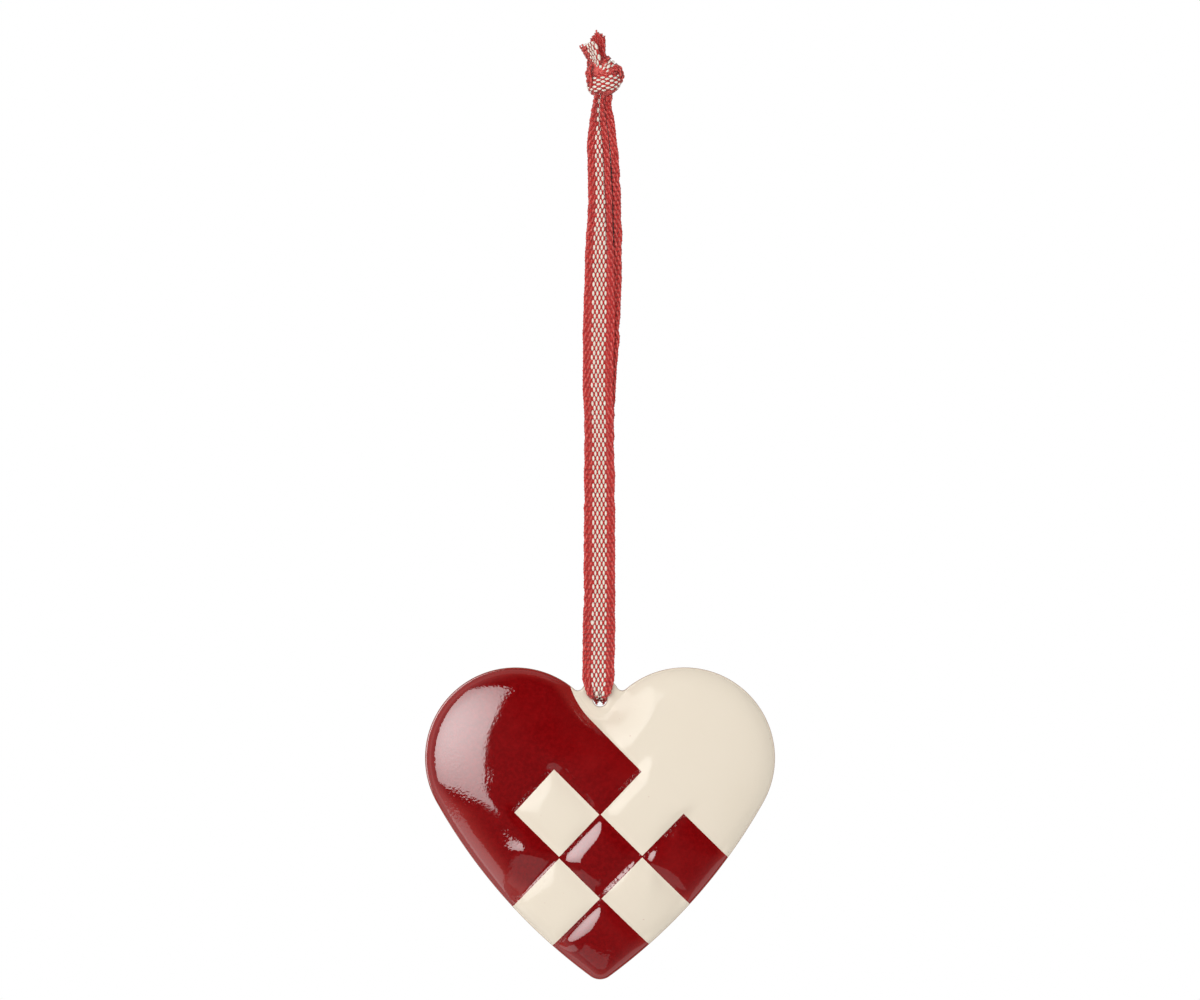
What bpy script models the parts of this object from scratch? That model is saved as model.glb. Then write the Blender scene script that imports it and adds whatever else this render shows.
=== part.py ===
"""Pressed metal heart ornament on a loop of woven ribbon, lying on its back.

Metres, +Z up. X runs across the heart and Y from its tip towards its hanging tab.
The origin is on the surface that the heart lies on, under the middle of the heart.
"""

import math

import bmesh
import bpy
import numpy as np
from mathutils.geometry import delaunay_2d_cdt

# Outline of the heart, made of arcs that run into each other
HEART_WIDTH = 0.0700
HEART_HEIGHT = 0.0624
LOBE_RADIUS = HEART_WIDTH * 0.2586
FLANK_RADIUS = HEART_WIDTH * 1.571
TIP_RADIUS = 0.0032
NOTCH_RADIUS = 0.0020

# Hanging tab, whose centre is this far above the bottom of the notch, and its hole
TAB_RADIUS = 0.0040
TAB_RISE = 0.0032
TAB_FILLET = 0.0011
TAB_THICKNESS = 0.0010
HOLE_DIAMETER = 0.0028
HOLE_BELOW_TAB_CENTRE = 0.0004

# Pressed form: a narrow seam round the edge, a rolled rim, and a soft dome on each side
SEAM_WIDTH = 0.00035
RIM_ROLL_WIDTH = 0.0022
RIM_ROLL_HEIGHT = 0.00125
RIM_FOOT = 0.0002
RIM_FADE_START = 0.0047
RIM_FADE_END = 0.0112
FRONT_DOME_HEIGHT = 0.0075
BACK_DOME_HEIGHT = 0.0066
DOME_REACH = HEART_WIDTH / 7
BACK_DEPTH = 0.0053

# Woven squares, in axes turned by 45 degrees: "down" runs down and to the left from the
# notch, "along" runs down and to the right. Both are measured from the heart's tip. The
# strips were laid by hand, so their edges lean by the degrees given about LEAN_CENTRE.
STRIP_WIDTH = 0.0118
FIRST_DOWN_EDGE = -0.0353
FIRST_ALONG_EDGE = -0.0363
FIRST_SLIT_EXTRA = 0.0011
DOWN_LEANS = (0.0, 0.0, -0.4)
ALONG_LEANS = (2.5, 1.6, 0.5)
LEAN_CENTRE = -0.0200
GROOVE_DEPTH = 0.00090
GROOVE_OFFSET = 0.00045
GROOVE_SOFTNESS = 0.00086
GROOVE_LONG_SIDE = 0.00155
GROOVE_SHORT_SIDE = 0.00097
GROOVE_END = 0.0009
GROOVE_RIM_FADE = 0.0017
LOBE_EDGE_BEND_RADIUS = 0.0152
LOBE_EDGE_BEND_START = -0.0383

# Fineness of the mesh
OUTLINE_STEP = 0.0016
HOLE_SIDES = 18
FRONT_STEP = 0.0022
BACK_STEP = 0.0036
GROOVE_LINES = (-0.0021, -0.0010, 0.0, 0.0010, 0.0021)
FRONT_RINGS = (0.0003, 0.0008, 0.0015, 0.0024)
BACK_RINGS = (0.0004, 0.0012, 0.0024)
INNER_REACH = 0.0030

# Ribbon: flat tape, 6.4 mm wide where it lies flat
RIBBON_THICKNESS = 0.0006
ROUTE_STEP = 0.0024

# Each station is the middle of the tape and its width there: x, y, z, width. Both x and y
# are measured from the hole's centre, z from the middle of the tab for the stations at the
# tab, and from the surface for the others.
FRONT_AT_TAB = (
    (0.0000, 0.0001, 0.00015, 0.0017),
    (0.0000, 0.0001, 0.00070, 0.0018),
    (-0.0001, 0.0005, 0.00125, 0.0026),
    (-0.0002, 0.0016, 0.00145, 0.0044),
    (-0.0003, 0.0032, 0.00140, 0.0060),
    (-0.0003, 0.0052, 0.00110, 0.0063),
)
FRONT_LYING = (
    (-0.0003, 0.0082, 0.00555, 0.0063),
    (-0.0002, 0.0122, 0.00405, 0.0064),
    (-0.0002, 0.0162, 0.00265, 0.0063),
    (-0.0001, 0.0202, 0.00180, 0.0062),
    (-0.0001, 0.0252, 0.00142, 0.0062),
    (-0.0001, 0.0332, 0.00136, 0.0062),
    (-0.0001, 0.0432, 0.00136, 0.0060),
    (-0.0002, 0.0542, 0.00136, 0.0058),
    (-0.0004, 0.0652, 0.00136, 0.0060),
    (-0.0002, 0.0752, 0.00136, 0.0062),
    (-0.0001, 0.0832, 0.00136, 0.0059),
    (-0.0001, 0.0912, 0.00138, 0.0055),
    (0.0000, 0.0997, 0.00140, 0.0047),
    (-0.0002, 0.1072, 0.00145, 0.0045),
    (-0.0004, 0.1122, 0.00160, 0.0042),
    (-0.0004, 0.1157, 0.00190, 0.0033),
    (-0.0004, 0.1182, 0.00230, 0.0024),
    (-0.0002, 0.1202, 0.00265, 0.0018),
)
BACK_AT_TAB = (
    (0.0000, 0.0001, -0.00015, 0.0017),
    (0.0000, 0.0001, -0.00070, 0.0018),
    (0.0000, 0.0006, -0.00130, 0.0028),
    (-0.0001, 0.0018, -0.00160, 0.0042),
    (-0.0001, 0.0036, -0.00190, 0.0056),
)
BACK_LYING = (
    (-0.0001, 0.0062, 0.00265, 0.0060),
    (-0.0001, 0.0092, 0.00165, 0.0060),
    (-0.0001, 0.0122, 0.00085, 0.0060),
    (-0.0001, 0.0152, 0.00050, 0.0060),
    (-0.0001, 0.0212, 0.00042, 0.0060),
    (-0.0001, 0.0312, 0.00042, 0.0060),
    (-0.0001, 0.0452, 0.00042, 0.0059),
    (0.0000, 0.0552, 0.00042, 0.0060),
    (0.0005, 0.0642, 0.00042, 0.0061),
    (0.0011, 0.0722, 0.00042, 0.0061),
    (0.0014, 0.0812, 0.00042, 0.0061),
    (0.0016, 0.0902, 0.00042, 0.0061),
    (0.0015, 0.0992, 0.00042, 0.0058),
    (0.0012, 0.1072, 0.00043, 0.0052),
    (0.0012, 0.1122, 0.00050, 0.0044),
    (0.0012, 0.1157, 0.00072, 0.0034),
    (0.0012, 0.1182, 0.00105, 0.0025),
    (0.0012, 0.1202, 0.00140, 0.0019),
)

# Knot, as the outer shape of its wound tape: x, y, z, half width, half thickness, with x
# and y from the hole's centre and z from the surface
KNOT_SECTIONS = (
    (0.0006, 0.1206, 0.0022, 0.0016, 0.0012),
    (0.0010, 0.1217, 0.0024, 0.0027, 0.0019),
    (0.0010, 0.1229, 0.0025, 0.0032, 0.0023),
    (0.0011, 0.1241, 0.0025, 0.0036, 0.0024),
    (0.0009, 0.1253, 0.0025, 0.0036, 0.0024),
    (0.0010, 0.1264, 0.0025, 0.0033, 0.0022),
    (0.0005, 0.1274, 0.0024, 0.0028, 0.0018),
    (0.0001, 0.1284, 0.0023, 0.0023, 0.0013),
    (-0.0004, 0.1294, 0.0022, 0.0017, 0.0008),
)
LONG_TAIL = (
    (0.0002, 0.1278, 0.0027, 0.0021, 0.0004),
    (-0.0004, 0.1302, 0.0024, 0.0016, 0.0004),
    (-0.0006, 0.1320, 0.0020, 0.0013, 0.0004),
    (-0.0008, 0.1338, 0.0016, 0.0003, 0.0003),
)
SHORT_TAIL = (
    (-0.0008, 0.1274, 0.0017, 0.0015, 0.0004),
    (-0.0022, 0.1292, 0.0013, 0.0012, 0.0004),
    (-0.0031, 0.1307, 0.0010, 0.0010, 0.0004),
    (-0.0038, 0.1313, 0.0009, 0.0003, 0.0003),
)
KNOT_SIDES = 14

MIDDLE_HEIGHT = HEART_HEIGHT / 2
LOBE_CENTRE = np.array([HEART_WIDTH / 2 - LOBE_RADIUS, HEART_HEIGHT - LOBE_RADIUS])
TIP_CENTRE = np.array([0.0, TIP_RADIUS])
NOTCH_ABOVE_LOBES = math.sqrt((LOBE_RADIUS + NOTCH_RADIUS) ** 2 - LOBE_CENTRE[0] ** 2)
NOTCH_CENTRE = np.array([0.0, LOBE_CENTRE[1] + NOTCH_ABOVE_LOBES])
TAB_CENTRE = NOTCH_CENTRE + (0.0, TAB_RISE - NOTCH_RADIUS)
HOLE_CENTRE = TAB_CENTRE - (0.0, HOLE_BELOW_TAB_CENTRE)
DOWN_EDGES = tuple(FIRST_DOWN_EDGE + k * STRIP_WIDTH for k in range(3))
ALONG_EDGES = (
    FIRST_ALONG_EDGE,
    FIRST_ALONG_EDGE + STRIP_WIDTH + FIRST_SLIT_EXTRA,
    FIRST_ALONG_EDGE + 2 * STRIP_WIDTH + FIRST_SLIT_EXTRA,
)


def clear_scene():
    for scene_object in list(bpy.data.objects):
        bpy.data.objects.remove(scene_object, do_unlink=True)


def painted(name, colour, roughness, metallic=0.0):
    material = bpy.data.materials.new(name)
    material.use_nodes = True
    shader = material.node_tree.nodes["Principled BSDF"]
    shader.inputs["Base Color"].default_value = (*colour, 1.0)
    shader.inputs["Roughness"].default_value = roughness
    shader.inputs["Metallic"].default_value = metallic
    material.diffuse_color = (*colour, 1.0)
    return material


def angle_of(vector):
    return math.atan2(vector[1], vector[0])


def meeting_point(centre_a, reach_a, centre_b, reach_b, side):
    """The point at the two reaches from the two centres, on the asked side of their line."""
    across = centre_b - centre_a
    distance = np.hypot(*across)
    along = (reach_a**2 - reach_b**2 + distance**2) / (2 * distance)
    height = math.sqrt(max(reach_a**2 - along**2, 0.0))
    direction = across / distance
    normal = np.array([-direction[1], direction[0]])
    return centre_a + direction * along + normal * height * side


def arc(centre, radius, start, end, full_radius):
    """Points from start towards end, without the end. full_radius sets how many."""
    steps = max(2, math.ceil(abs(end - start) * full_radius / OUTLINE_STEP))
    angles = start + (end - start) * np.arange(steps) / steps
    return centre + radius * np.column_stack((np.cos(angles), np.sin(angles)))


def lower_half(inset):
    """Tip, flank and the start of the lobe on the right, pulled in by the inset."""
    flank_centre = meeting_point(
        LOBE_CENTRE, FLANK_RADIUS - LOBE_RADIUS, TIP_CENTRE, FLANK_RADIUS - TIP_RADIUS, -1
    )
    tip_end = angle_of(TIP_CENTRE - flank_centre)
    lobe_start = angle_of(LOBE_CENTRE - flank_centre)
    tip = arc(TIP_CENTRE, TIP_RADIUS - inset, -math.pi / 2, tip_end, TIP_RADIUS)
    flank = arc(flank_centre, FLANK_RADIUS - inset, tip_end, lobe_start, FLANK_RADIUS)
    return [tip, flank], lobe_start


def closed_by_mirror(right_half, last_point):
    """The whole loop from its right half, which starts on the axis at the tip."""
    right = np.vstack(right_half + [last_point[None, :]])
    left = right[1:-1][::-1] * (-1, 1)
    return np.vstack((right, left))


def heart_with_tab():
    """Outer edge of the whole plate: both lobes, the valleys and the hanging tab."""
    parts, lobe_start = lower_half(0.0)
    valley = meeting_point(
        LOBE_CENTRE, LOBE_RADIUS + TAB_FILLET, TAB_CENTRE, TAB_RADIUS + TAB_FILLET, -1
    )
    lobe_end = angle_of(valley - LOBE_CENTRE)
    parts.append(arc(LOBE_CENTRE, LOBE_RADIUS, lobe_start, lobe_end, LOBE_RADIUS))
    valley_start = angle_of(LOBE_CENTRE - valley)
    valley_end = angle_of(TAB_CENTRE - valley) - 2 * math.pi
    while valley_end < valley_start - math.pi:
        valley_end += 2 * math.pi
    parts.append(arc(valley, TAB_FILLET, valley_start, valley_end, TAB_FILLET * 2))
    tab_start = angle_of(valley - TAB_CENTRE)
    parts.append(arc(TAB_CENTRE, TAB_RADIUS, tab_start, math.pi / 2, TAB_RADIUS * 1.5))
    return closed_by_mirror(parts, TAB_CENTRE + (0.0, TAB_RADIUS))


def heart_body(inset):
    """Edge of the puffed body, pulled in by the inset. It has a notch and no tab."""
    parts, lobe_start = lower_half(inset)
    lobe_end = angle_of(NOTCH_CENTRE - LOBE_CENTRE)
    parts.append(arc(LOBE_CENTRE, LOBE_RADIUS - inset, lobe_start, lobe_end, LOBE_RADIUS))
    notch_start = angle_of(LOBE_CENTRE - NOTCH_CENTRE)
    radius = NOTCH_RADIUS + inset
    parts.append(arc(NOTCH_CENTRE, radius, notch_start, -math.pi / 2, NOTCH_RADIUS * 2))
    return closed_by_mirror(parts, NOTCH_CENTRE - (0.0, radius))


def soft_depth(points, loop):
    """How deep each point lies inside the loop: near its edge the distance to it, and a
    smooth crown further in. It is zero outside."""
    spokes = loop[None, :, :] - points[:, None, :]
    reach = np.maximum(np.hypot(spokes[..., 0], spokes[..., 1]), 1e-9)
    after = np.roll(spokes, -1, axis=1)
    turn = spokes[..., 0] * after[..., 1] - spokes[..., 1] * after[..., 0]
    level = (spokes * after).sum(axis=2)
    angles = np.arctan2(turn, level)
    inside = angles.sum(axis=1) > math.pi
    halves = np.tan(np.clip(angles, -3.1415, 3.1415) / 2)
    weight = (halves * (1 / reach + 1 / np.roll(reach, -1, axis=1))).sum(axis=1)
    return np.where(inside & (weight > 0), 2 / np.maximum(weight, 1e-9), 0.0)


def ease(value, low, high):
    share = np.clip((value - low) / (high - low), 0.0, 1.0)
    return share * share * (3 - 2 * share)


def is_red(row, column):
    """Colour of a woven square. Row -1 is the pale lobe and column -1 is the red lobe."""
    if row < 0:
        return False
    return column < 0 or (row + column) % 2 == 0


def groove(distance):
    """Share of the groove's depth, steep before its lowest line and gentle after it."""
    past = distance - GROOVE_OFFSET
    rounded = np.sqrt(past**2 + GROOVE_SOFTNESS**2)
    middle = (GROOVE_LONG_SIDE + GROOVE_SHORT_SIDE) / 2
    spread = middle + (GROOVE_LONG_SIDE - middle) * past / rounded
    return np.exp(-(rounded - GROOVE_SOFTNESS) / spread)


def edge_distances(x, y):
    """How far each point lies past each woven edge, in both directions."""
    down = -(x + y) / math.sqrt(2)
    along = (x - y) / math.sqrt(2)
    bend = np.maximum(LOBE_EDGE_BEND_START - along, 0.0) ** 2 / (2 * LOBE_EDGE_BEND_RADIUS)
    past_down = [
        down - edge - math.tan(math.radians(lean)) * (along - LEAN_CENTRE)
        for edge, lean in zip(DOWN_EDGES, DOWN_LEANS)
    ]
    past_down[0] = past_down[0] + bend
    past_along = [
        along - edge - math.tan(math.radians(lean)) * (down - LEAN_CENTRE)
        for edge, lean in zip(ALONG_EDGES, ALONG_LEANS)
    ]
    return past_down, past_along


def squares_between(past):
    """Weight of each square along an edge: square -1 first, then one for each strip."""
    steps = [ease(distance, -GROOVE_END, GROOVE_END) for distance in past]
    bounds = [np.ones_like(past[0])] + steps + [np.zeros_like(past[0])]
    return [bounds[k] - bounds[k + 1] for k in range(len(past) + 1)]


def woven_relief(x, y):
    """Share of the groove depth at each point, where strips dive under each other."""
    past_down, past_along = edge_distances(x, y)
    left = 1.0
    columns = squares_between(past_along)
    for k, distance in enumerate(past_down):
        for column, share in enumerate(columns, start=-1):
            above, below = is_red(k - 1, column), is_red(k, column)
            if above != below:
                side = -1 if below else 1
                left = left * (1 - share * groove(side * distance))
    rows = squares_between(past_down)
    for k, distance in enumerate(past_along):
        for row, share in enumerate(rows, start=-1):
            before, after = is_red(row, k - 1), is_red(row, k)
            if before != after:
                side = -1 if before else 1
                left = left * (1 - share * groove(side * distance))
    return 1 - left


def rim_roll(depth, points):
    """Height of the rolled rim, which dies away towards the tab."""
    footed = depth**2 / (depth + RIM_FOOT)
    share = np.clip(footed / RIM_ROLL_WIDTH, 0.0, 1.0)
    reach = np.hypot(*(points - HOLE_CENTRE).T)
    fade = ease(reach, RIM_FADE_START, RIM_FADE_END)
    return RIM_ROLL_HEIGHT * fade * np.sqrt(1 - (1 - share) ** 2)


def dome(depth, height):
    """Rise of the dome, which is steep near the rim and flatter in the middle."""
    return height * (1 - np.exp(-depth / DOME_REACH))


def front_height(points, loop):
    depth = soft_depth(points, loop)
    hollow = woven_relief(points[:, 0], points[:, 1]) * ease(depth, 0.0, GROOVE_RIM_FADE)
    body = rim_roll(depth, points) + dome(depth, FRONT_DOME_HEIGHT) - GROOVE_DEPTH * hollow
    return BACK_DEPTH + TAB_THICKNESS / 2 + np.maximum(body, 0.0)


def back_height(points, loop):
    depth = soft_depth(points, loop)
    body = rim_roll(depth, points) + dome(depth, BACK_DOME_HEIGHT)
    return np.maximum(BACK_DEPTH - TAB_THICKNESS / 2 - body, 0.0)


def edge_spacing(edges, lowest, highest, step):
    """Line positions between two limits, close together beside each woven edge."""
    lines = [edge + offset for edge in edges for offset in GROOVE_LINES]
    marks = [lowest] + sorted(line for line in lines if lowest < line < highest) + [highest]
    spaced = []
    for before, after in zip(marks, marks[1:]):
        count = max(1, round((after - before) / step))
        spaced += [before + (after - before) * k / count for k in range(count)]
    return np.array(spaced + [highest])


def woven_points():
    """Points of a slanted grid that follows the woven edges."""
    reach = HEART_HEIGHT + HEART_WIDTH / 2
    down = edge_spacing(DOWN_EDGES, -reach, reach / 4, FRONT_STEP)
    along = edge_spacing(ALONG_EDGES, -reach, reach / 4, FRONT_STEP)
    down, along = (grid.ravel() for grid in np.meshgrid(down, along))
    down_lean = np.tan(np.radians(np.interp(down, DOWN_EDGES, DOWN_LEANS)))
    along_lean = np.tan(np.radians(np.interp(along, ALONG_EDGES, ALONG_LEANS)))
    leaned_down = down + down_lean * (along - LEAN_CENTRE)
    leaned_along = along + along_lean * (down - LEAN_CENTRE)
    x = (leaned_along - leaned_down) / math.sqrt(2)
    y = -(leaned_along + leaned_down) / math.sqrt(2)
    return np.column_stack((x, y))


def square_points(step):
    columns = np.arange(-HEART_WIDTH / 2, HEART_WIDTH / 2 + step, step)
    rows = np.arange(0.0, HEART_HEIGHT + step, step)
    grid_x, grid_y = np.meshgrid(columns, rows)
    return np.column_stack((grid_x.ravel(), grid_y.ravel()))


def kept_apart(candidates, fixed, gap):
    """The candidates that lie further than the gap from the fixed points and each other."""
    kept = [tuple(point) for point in fixed]
    for point in candidates:
        near = np.hypot(*(np.array(kept) - point).T).min()
        if near > gap:
            kept.append(tuple(point))
    return np.array(kept[len(fixed) :]).reshape(-1, 2)


def triangulated(loops, free_points):
    """Triangles of the plate inside its outer loop and outside the hole."""
    points = np.vstack(list(loops) + [free_points])
    edges = []
    first = 0
    for loop in loops:
        count = len(loop)
        edges += [(first + k, first + (k + 1) % count) for k in range(count)]
        first += count
    result = delaunay_2d_cdt([tuple(p) for p in points], edges, [], 1, 1e-7)
    flat = np.array([tuple(v) for v in result[0]])
    hole_reach = HOLE_DIAMETER / 2
    faces = []
    for face in result[2]:
        middle = flat[list(face)].mean(axis=0)
        if np.hypot(*(middle - HOLE_CENTRE)) > hole_reach:
            faces.append(face)
    return flat, faces


def hole_loop():
    angles = np.arange(HOLE_SIDES) * 2 * math.pi / HOLE_SIDES
    return HOLE_CENTRE + HOLE_DIAMETER / 2 * np.column_stack((np.cos(angles), np.sin(angles)))


def add_skin(mesh, flat, faces, heights, upward):
    """One side of the heart, set so that the heart's middle is over the origin."""
    verts = [
        mesh.verts.new((x, y - MIDDLE_HEIGHT, z)) for (x, y), z in zip(flat, heights)
    ]
    for face in faces:
        corners = [verts[k] for k in face]
        mesh.faces.new(corners if upward else corners[::-1])
    return verts


def make_heart(collection, material):
    outer = heart_with_tab()
    body = heart_body(SEAM_WIDTH)
    hole = hole_loop()
    loops = (outer, hole, body)
    fixed = np.vstack(loops)

    def free_points(rings, inner, gap):
        ring_points = np.vstack([heart_body(SEAM_WIDTH + ring) for ring in rings])
        ring_points = kept_apart(ring_points, fixed, gap / 5)
        deep = inner[soft_depth(inner, body) > INNER_REACH]
        spread = kept_apart(deep, np.vstack((fixed, ring_points)), gap / 2)
        return np.vstack((ring_points, spread))

    front_flat, front_faces = triangulated(
        loops, free_points(FRONT_RINGS, woven_points(), OUTLINE_STEP)
    )
    back_flat, back_faces = triangulated(
        loops, free_points(BACK_RINGS, square_points(BACK_STEP), OUTLINE_STEP)
    )
    mesh = bmesh.new()
    front = add_skin(mesh, front_flat, front_faces, front_height(front_flat, body), True)
    back = add_skin(mesh, back_flat, back_faces, back_height(back_flat, body), False)
    first = 0
    for loop in (outer, hole):
        count = len(loop)
        for k in range(count):
            here, there = first + k, first + (k + 1) % count
            mesh.faces.new((front[here], back[here], back[there], front[there]))
        first += count
    bmesh.ops.recalc_face_normals(mesh, faces=mesh.faces)
    return finish_mesh("heart", mesh, collection, material)


def finish_mesh(name, mesh, collection, material):
    data = bpy.data.meshes.new(name)
    mesh.to_mesh(data)
    mesh.free()
    data.materials.append(material)
    data.shade_smooth()
    data.set_sharp_from_angle(angle=math.radians(50))
    built = bpy.data.objects.new(name, data)
    collection.objects.link(built)
    return built


def from_hole(stations, height):
    """The stations in the heart's frame, lifted by the height."""
    return np.array(stations) + np.array(
        [0.0, HOLE_CENTRE[1] - MIDDLE_HEIGHT, height] + [0.0] * (len(stations[0]) - 3)
    )


def smooth_route(at_tab, lying):
    """Stations at even steps along a smooth curve through the given ones."""
    knots = np.vstack((from_hole(at_tab, BACK_DEPTH), from_hole(lying, 0.0)))
    before = np.vstack((2 * knots[0] - knots[1], knots, 2 * knots[-1] - knots[-2]))
    samples = []
    for k in range(len(knots) - 1):
        p0, p1, p2, p3 = before[k : k + 4]
        count = max(1, round(np.linalg.norm((p2 - p1)[:3]) / ROUTE_STEP))
        for step in range(count):
            t = step / count
            samples.append(
                p1
                + (p2 - p0) * t / 2
                + (2 * p0 - 5 * p1 + 4 * p2 - p3) * t**2 / 2
                + (3 * p1 - p0 - 3 * p2 + p3) * t**3 / 2
            )
    samples.append(knots[-1])
    return np.array(samples)


def loft(mesh, rings):
    """A closed body through rings of points that all have the same count."""
    made = [[mesh.verts.new(point) for point in ring] for ring in rings]
    count = len(made[0])
    for before, after in zip(made, made[1:]):
        for k in range(count):
            there = (k + 1) % count
            mesh.faces.new((before[k], before[there], after[there], after[k]))
    mesh.faces.new(made[0][::-1])
    mesh.faces.new(made[-1])
    bmesh.ops.recalc_face_normals(mesh, faces=mesh.faces)


def tape_ring(middle, forward, width):
    """Cross-section of the tape: flat faces and rounded edges, level across."""
    up = np.array([0.0, -forward[2], forward[1]])
    up /= np.linalg.norm(up)
    half, thick = width / 2, RIBBON_THICKNESS / 2
    shoulder = half - thick
    outline = (
        (half, 0.0), (shoulder, thick), (-shoulder, thick),
        (-half, 0.0), (-shoulder, -thick), (shoulder, -thick),
    )
    return [middle + np.array([a, 0.0, 0.0]) + up * b for a, b in outline]


def make_tape(name, at_tab, lying, collection, material):
    stations = smooth_route(at_tab, lying)
    middles = stations[:, :3]
    forward = np.gradient(middles, axis=0)
    mesh = bmesh.new()
    rings = [
        tape_ring(middle, direction / np.linalg.norm(direction), width)
        for middle, direction, width in zip(middles, forward, stations[:, 3])
    ]
    loft(mesh, rings)
    return finish_mesh(name, mesh, collection, material)


def oval_rings(sections):
    angles = np.arange(KNOT_SIDES) * 2 * math.pi / KNOT_SIDES
    return [
        [(x + a * math.cos(t), y, z + b * math.sin(t)) for t in angles]
        for x, y, z, a, b in from_hole(sections, 0.0)
    ]


def make_lump(name, sections, collection, material):
    mesh = bmesh.new()
    loft(mesh, oval_rings(sections))
    return finish_mesh(name, mesh, collection, material)


def as_cutter(part):
    part.hide_render = True
    part.display_type = "WIRE"


def join_to(target, addition):
    union = target.modifiers.new(addition.name, "BOOLEAN")
    union.operation = "UNION"
    union.solver = "EXACT"
    union.object = addition
    as_cutter(addition)


def make_knot(collection, helpers, material):
    knot = make_lump("ribbon_knot", KNOT_SECTIONS, collection, material)
    for name, sections in (("long_tail", LONG_TAIL), ("short_tail", SHORT_TAIL)):
        join_to(knot, make_lump(name, sections, helpers, material))
    return knot


def main():
    clear_scene()
    parts = bpy.data.collections.new("heart_ornament")
    helpers = bpy.data.collections.new("helpers")
    for collection in (parts, helpers):
        bpy.context.scene.collection.children.link(collection)
    enamel = painted("red_and_cream_paint", (0.24, 0.01, 0.012), 0.15)
    cotton = painted("red_woven_ribbon", (0.42, 0.06, 0.055), 0.9)
    tape_front = painted("ribbon_front", (0.42, 0.06, 0.055), 0.9)
    tape_back = painted("ribbon_back", (0.36, 0.05, 0.045), 0.9)
    make_heart(parts, enamel)
    make_tape("ribbon_front_run", FRONT_AT_TAB, FRONT_LYING, parts, tape_front)
    make_tape("ribbon_back_run", BACK_AT_TAB, BACK_LYING, parts, tape_back)
    make_knot(parts, helpers, cotton)


main()
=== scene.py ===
from math import atan2, ceil, cos, floor, pi, radians, sin, sqrt, tan, tanh

import bmesh
import bpy
import numpy as np
from mathutils import Matrix, Vector
from mathutils.geometry import delaunay_2d_cdt


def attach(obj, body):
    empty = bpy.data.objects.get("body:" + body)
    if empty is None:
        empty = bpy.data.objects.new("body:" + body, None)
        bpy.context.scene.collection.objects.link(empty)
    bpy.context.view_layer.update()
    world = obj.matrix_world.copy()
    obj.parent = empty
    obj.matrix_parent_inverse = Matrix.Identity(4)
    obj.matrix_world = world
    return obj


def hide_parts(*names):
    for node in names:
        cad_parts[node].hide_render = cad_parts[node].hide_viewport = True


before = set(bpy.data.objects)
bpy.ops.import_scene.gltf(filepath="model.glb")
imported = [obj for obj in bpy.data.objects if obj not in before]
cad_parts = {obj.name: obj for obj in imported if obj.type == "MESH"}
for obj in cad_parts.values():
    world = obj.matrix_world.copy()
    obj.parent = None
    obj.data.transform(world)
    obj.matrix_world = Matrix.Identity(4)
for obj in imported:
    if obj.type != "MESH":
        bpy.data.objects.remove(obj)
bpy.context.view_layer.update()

MM = 0.001

# Heart: the same outline, pressed form and woven squares as in the solids, in metres
HEART_WIDTH = 0.0700
HEART_HEIGHT = 0.0624
LOBE_RADIUS = HEART_WIDTH * 0.2586
FLANK_RADIUS = HEART_WIDTH * 1.571
TIP_RADIUS = 0.0032
NOTCH_RADIUS = 0.0020
TAB_RADIUS = 0.0040
TAB_RISE = 0.0032
TAB_FILLET = 0.0011
TAB_THICKNESS = 0.0010
HOLE_DIAMETER = 0.0028
HOLE_BELOW_TAB_CENTRE = 0.0004
SEAM_WIDTH = 0.00035
RIM_ROLL_WIDTH = 0.0022
RIM_ROLL_HEIGHT = 0.00125
RIM_FOOT = 0.0002
RIM_FADE_START = 0.0047
RIM_FADE_END = 0.0112
FRONT_DOME_HEIGHT = 0.0075
BACK_DOME_HEIGHT = 0.0066
DOME_REACH = HEART_WIDTH / 7
BACK_DEPTH = 0.0053
TAB_BLEND = 0.00046
TAB_BLEND_START = 0.0015
TAB_BLEND_END = 0.0069

# Slight swellings of the pressed front: middle, height, two reaches and the first one's heading
SWELLS = (
    ((-0.0145, 0.0257), 0.00035, (0.0026, 0.00135), 0.0),
    ((0.0059, 0.0502), 0.00040, (0.0050, 0.00196), 46.6),
    ((0.0106, 0.0225), 0.00040, (0.00127, 0.0040), -8.1),
)

# Woven squares, which run down and along the heart's diagonals, and the grooves round them
STRIP_WIDTH = 0.0118
FIRST_DOWN_EDGE = -0.0353
FIRST_ALONG_EDGE = -0.0363
FIRST_SLIT_EXTRA = 0.0011
DOWN_EDGES = tuple(FIRST_DOWN_EDGE + k * STRIP_WIDTH for k in range(3))
ALONG_EDGES = (
    FIRST_ALONG_EDGE,
    FIRST_ALONG_EDGE + STRIP_WIDTH + FIRST_SLIT_EXTRA,
    FIRST_ALONG_EDGE + 2 * STRIP_WIDTH + FIRST_SLIT_EXTRA,
)
DOWN_LEANS = (0.0, 0.0, -0.4)
ALONG_LEANS = (2.5, 1.6, 0.5)
LEAN_CENTRE = -0.0200
LOBE_EDGE_BEND_RADIUS = 0.0152
LOBE_EDGE_BEND_START = -0.0383
GROOVE_DEPTH = 0.00090
GROOVE_OFFSET = 0.00045
GROOVE_SHIFTS = {(-1, 0, 1): 0.00045, (-1, 1, 0): 0.00055, (-1, 2, 1): -0.00062}
GROOVE_SOFTNESS = 0.00086
GROOVE_LONG_SIDE = 0.00155
GROOVE_SHORT_SIDE = 0.00097
GROOVE_END = 0.0015
GROOVE_RIM_FADE = 0.0017

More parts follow.
